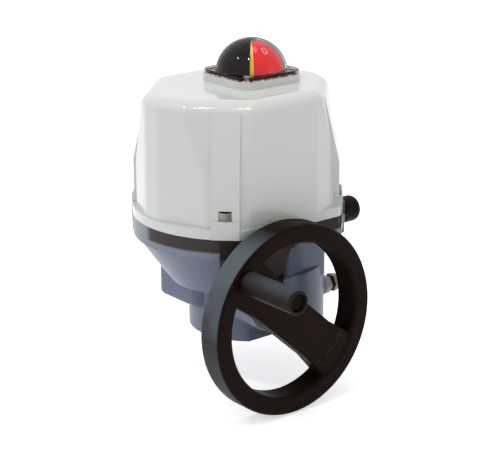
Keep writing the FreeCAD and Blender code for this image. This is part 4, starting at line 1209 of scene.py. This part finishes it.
@dataclass
class HandDrive(Assembly):
    """Handwheel, its cross pin, and the turning handle on its pin."""

    axis_x: float = -42.0 * MM
    axis_z: float = 40.5 * MM
    bar_front: float = -112.0 * MM
    bar_angle: float = -42.0
    bar_width: float = 34.0 * MM
    step_start: float = 58.0 * MM
    step_end: float = 76.0 * MM
    step_height: float = 0.6 * MM
    step_edge: Rounding = Rounding(0.3 * MM)

    def build(self) -> None:
        """Make every piece of the hand drive."""
        self.refine("handwheel", "handwheel_casting", "worm", "wheel_paint",
                    Rounding(0.8 * MM, 3, 30.0), shape=self.raise_step)
        for node, name, body, finish, width in (
                ("handle_grip", "handle_sleeve", "handle", "handle_plastic", 0.4 * MM),
                ("handle_pin", "handle_bolt", "worm", "pin_steel", 0.4 * MM),
                ("wheel_pin", "hub_cross_pin", "worm", "dark_steel", 0.2 * MM)):
            self.refine(node, name, body, finish, Rounding(width, 2, 30.0))

    def raise_step(self, wheel: Piece) -> None:
        """Fuse the low raised step to the end of the bar across from the handle.

        Args:
            wheel: the wheel.
        """
        middle = (self.step_start + self.step_end) / 2
        bpy.ops.mesh.primitive_cube_add(size=1.0, location=(middle, 0.0, 0.0))
        step = Bench.name(bpy.context.object, "bar_step")
        # half of the block's thickness stands out of the bar
        step.scale = (self.step_end - self.step_start, 2 * self.step_height, self.bar_width)
        Bench.settle(step)
        Bench.soften(step, self.step_edge)
        step.rotation_euler = (0.0, -math.radians(self.bar_angle), 0.0)
        Bench.settle(step)
        step.location = (self.axis_x, self.bar_front, self.axis_z)
        Bench.settle(step)
        Bench.fuse(wheel, step)


@dataclass
class Fittings(Assembly):
    """End stop bolts with their nuts, cable glands and the earth screw."""

    def build(self) -> None:
        """Make every fitting outside the housing."""
        for node, name, finish, slot, width in (
                ("end_stop_bolts", "stop_bolt_pair", "stained_steel", "bright_steel", 0.4 * MM),
                ("end_stop_nuts", "stop_nut_pair", "stained_steel", "bright_steel", 0.4 * MM),
                ("gland_bodies", "gland_body_pair", "black_plastic", None, 0.5 * MM),
                ("gland_nuts", "gland_nut_pair", "black_plastic", None, 0.5 * MM),
                ("gland_seals", "gland_seal_pair", "seal_rubber", None, 0.3 * MM),
                ("earth_screw", "earth_terminal", "bright_steel", None, 0.3 * MM)):
            self.refine(node, name, "root", finish, Rounding(width), slot)


@dataclass
class InnerWorks(Assembly):
    """Finishes of all that the casing hides, on the frame's own nodes."""

    def build(self) -> None:
        """Dress every node that is still shown as it came."""
        slots = {part["node"]: part["material_slot"] for part in frame["record"]["subparts"]}
        for name, node in frame["nodes"].items():
            if node.hide_render:
                continue
            self.paints.dress(node, slots[name])
            log.info("%s keeps its shape", name)


# Studio


@dataclass
class Lamp:
    """One area lamp of the studio: its height is tall times its size.

    Only a mirrored lamp shows in glossy surfaces.
    """

    name: str
    place: Point
    size: float
    power: float
    colour: Colour = (1.0, 1.0, 1.0)
    tall: float = 1.0
    mirrored: bool = False

    def hang(self, target: Point) -> None:
        """Add the lamp.

        Args:
            target: the point that it shines at.
        """
        data = bpy.data.lights.new(self.name, "AREA")
        data.shape = "ELLIPSE"
        data.size = self.size
        data.size_y = self.size * self.tall
        data.energy = self.power
        data.color = self.colour
        lamp = bpy.data.objects.new(self.name, data)
        bpy.context.scene.collection.objects.link(lamp)
        lamp.visible_glossy = self.mirrored
        lamp.location = self.place
        away = Vector(self.place) - Vector(target)
        lamp.rotation_euler = away.to_track_quat("Z", "Y").to_euler()


@dataclass
class Studio:
    """White floor and background, soft lamps, and the camera of the photograph.

    The glows tell how bright the floor and the sky look, and bounce and sky how bright they
    are to the object.
    """

    azimuth: float = -38.9
    elevation: float = 17.6
    roll: float = -0.4
    distance: float = 1.498
    target: Point = (-0.0117, -0.0107, 0.1005)
    focal_px: float = 1573.0
    frame_px: float = 500.0
    sensor: float = 36.0
    floor_z: float = -0.0505
    floor_r: float = 9.0
    floor_colour: Colour = (0.86, 0.86, 0.86)
    floor_glow: float = 0.56
    bounce: float = 0.10
    sky: float = 0.63
    sky_glow: float = 1.0
    lamps: tuple[Lamp, ...] = field(default_factory=lambda: (
        Lamp("top_lamp", (0.0, 0.1, 1.9), 1.0, 10.5),
        Lamp("fill_lamp", (0.9, -1.8, 0.5), 1.2, 2.5),
        Lamp("back_lamp", (-1.0, 1.4, 0.9), 0.7, 2.5, (0.86, 0.95, 1.0)),
        Lamp("spark_dome", (-1.24, 0.30, 1.67), 0.16, 5.0, mirrored=True),
        Lamp("spark_left", (-0.95, -0.54, 1.86), 0.03, 1.0, tall=4.0, mirrored=True),
        Lamp("spark_right", (-0.87, -0.62, 1.86), 0.03, 1.8, tall=5.0, mirrored=True),
    ))

    def build(self) -> None:
        """Set up the whole studio."""
        self.camera()
        self.floor()
        self.world()
        for lamp in self.lamps:
            lamp.hang(self.target)

    def camera(self) -> None:
        """Place the camera where the photograph was taken."""
        a, e, r = (math.radians(v) for v in (self.azimuth, self.elevation, self.roll))
        back = Vector((math.sin(a) * math.cos(e), -math.cos(a) * math.cos(e), math.sin(e)))
        right = Vector((math.cos(a), math.sin(a), 0.0))
        up = back.cross(right)
        right, up = (right * math.cos(r) + up * math.sin(r),
                     up * math.cos(r) - right * math.sin(r))
        data = bpy.data.cameras.new("photo_camera")
        data.sensor_width = self.sensor
        data.lens = self.sensor * self.focal_px / self.frame_px
        data.clip_start = 0.05
        data.clip_end = 30.0
        camera = bpy.data.objects.new("photo_camera", data)
        bpy.context.scene.collection.objects.link(camera)
        turned = Matrix((right, up, back)).transposed().to_4x4()
        turned.translation = Vector(self.target) + back * self.distance
        camera.matrix_world = turned
        bpy.context.scene.camera = camera

    @staticmethod
    def seen(nodes: NodeTree) -> Socket:
        """Tell the rays that show the background from those that light the object.

        Args:
            nodes: the tree of the floor or the world.

        Returns:
            A value that is 1 where it is in sight, mirrored or seen through glass.
        """
        path = nodes.add("ShaderNodeLightPath")
        seen = nodes.math("MAXIMUM", path.outputs["Is Camera Ray"], path.outputs["Is Glossy Ray"])
        return nodes.math("MAXIMUM", seen, path.outputs["Is Transmission Ray"])

    def floor(self) -> None:
        """Lay the floor, white to the camera but with the object's shadow on it."""
        Bench.clear()
        bpy.ops.mesh.primitive_circle_add(vertices=64, radius=self.floor_r, fill_type="NGON",
                                          location=(0.0, 0.0, self.floor_z))
        floor = Bench.name(bpy.context.object, "studio_floor")
        Bench.settle(floor)
        material = bpy.data.materials.new("floor_white")
        material.use_nodes = True
        nodes = NodeTree(material.node_tree)
        shader = material.node_tree.nodes["Principled BSDF"]
        shader.inputs["Base Color"].default_value = (*self.floor_colour, 1.0)
        shader.inputs["Roughness"].default_value = 1.0
        shader.inputs["Specular IOR Level"].default_value = 0.0
        shader.inputs["Emission Color"].default_value = (1.0, 1.0, 1.0, 1.0)
        glow = nodes.span(self.seen(nodes), 0.0, 1.0, self.bounce, self.floor_glow)
        nodes.link(glow, shader.inputs["Emission Strength"])
        floor.data.materials.append(material)

    def world(self) -> None:
        """Soft light from all round, and white where the camera sees past the floor."""
        world = bpy.data.worlds.new("studio_world")
        bpy.context.scene.world = world
        world.use_nodes = True
        nodes = NodeTree(world.node_tree)
        background = world.node_tree.nodes["Background"]
        background.inputs["Color"].default_value = (1.0, 1.0, 1.0, 1.0)
        glow = nodes.span(self.seen(nodes), 0.0, 1.0, self.sky, self.sky_glow)
        nodes.link(glow, background.inputs["Strength"])


def main() -> None:
    """Build the actuator's looks round the frame, one sub-assembly after the other."""
    logging.basicConfig(level=logging.INFO, format="%(message)s")
    paints = Paintshop()
    Studio().build()
    for assembly in (Casing, Indicator, HandDrive, Fittings, InnerWorks):
        assembly(paints).build()
    Bench.clear()
    bpy.context.scene.view_settings.view_transform = "Standard"


if __name__ == "__main__":
    main()
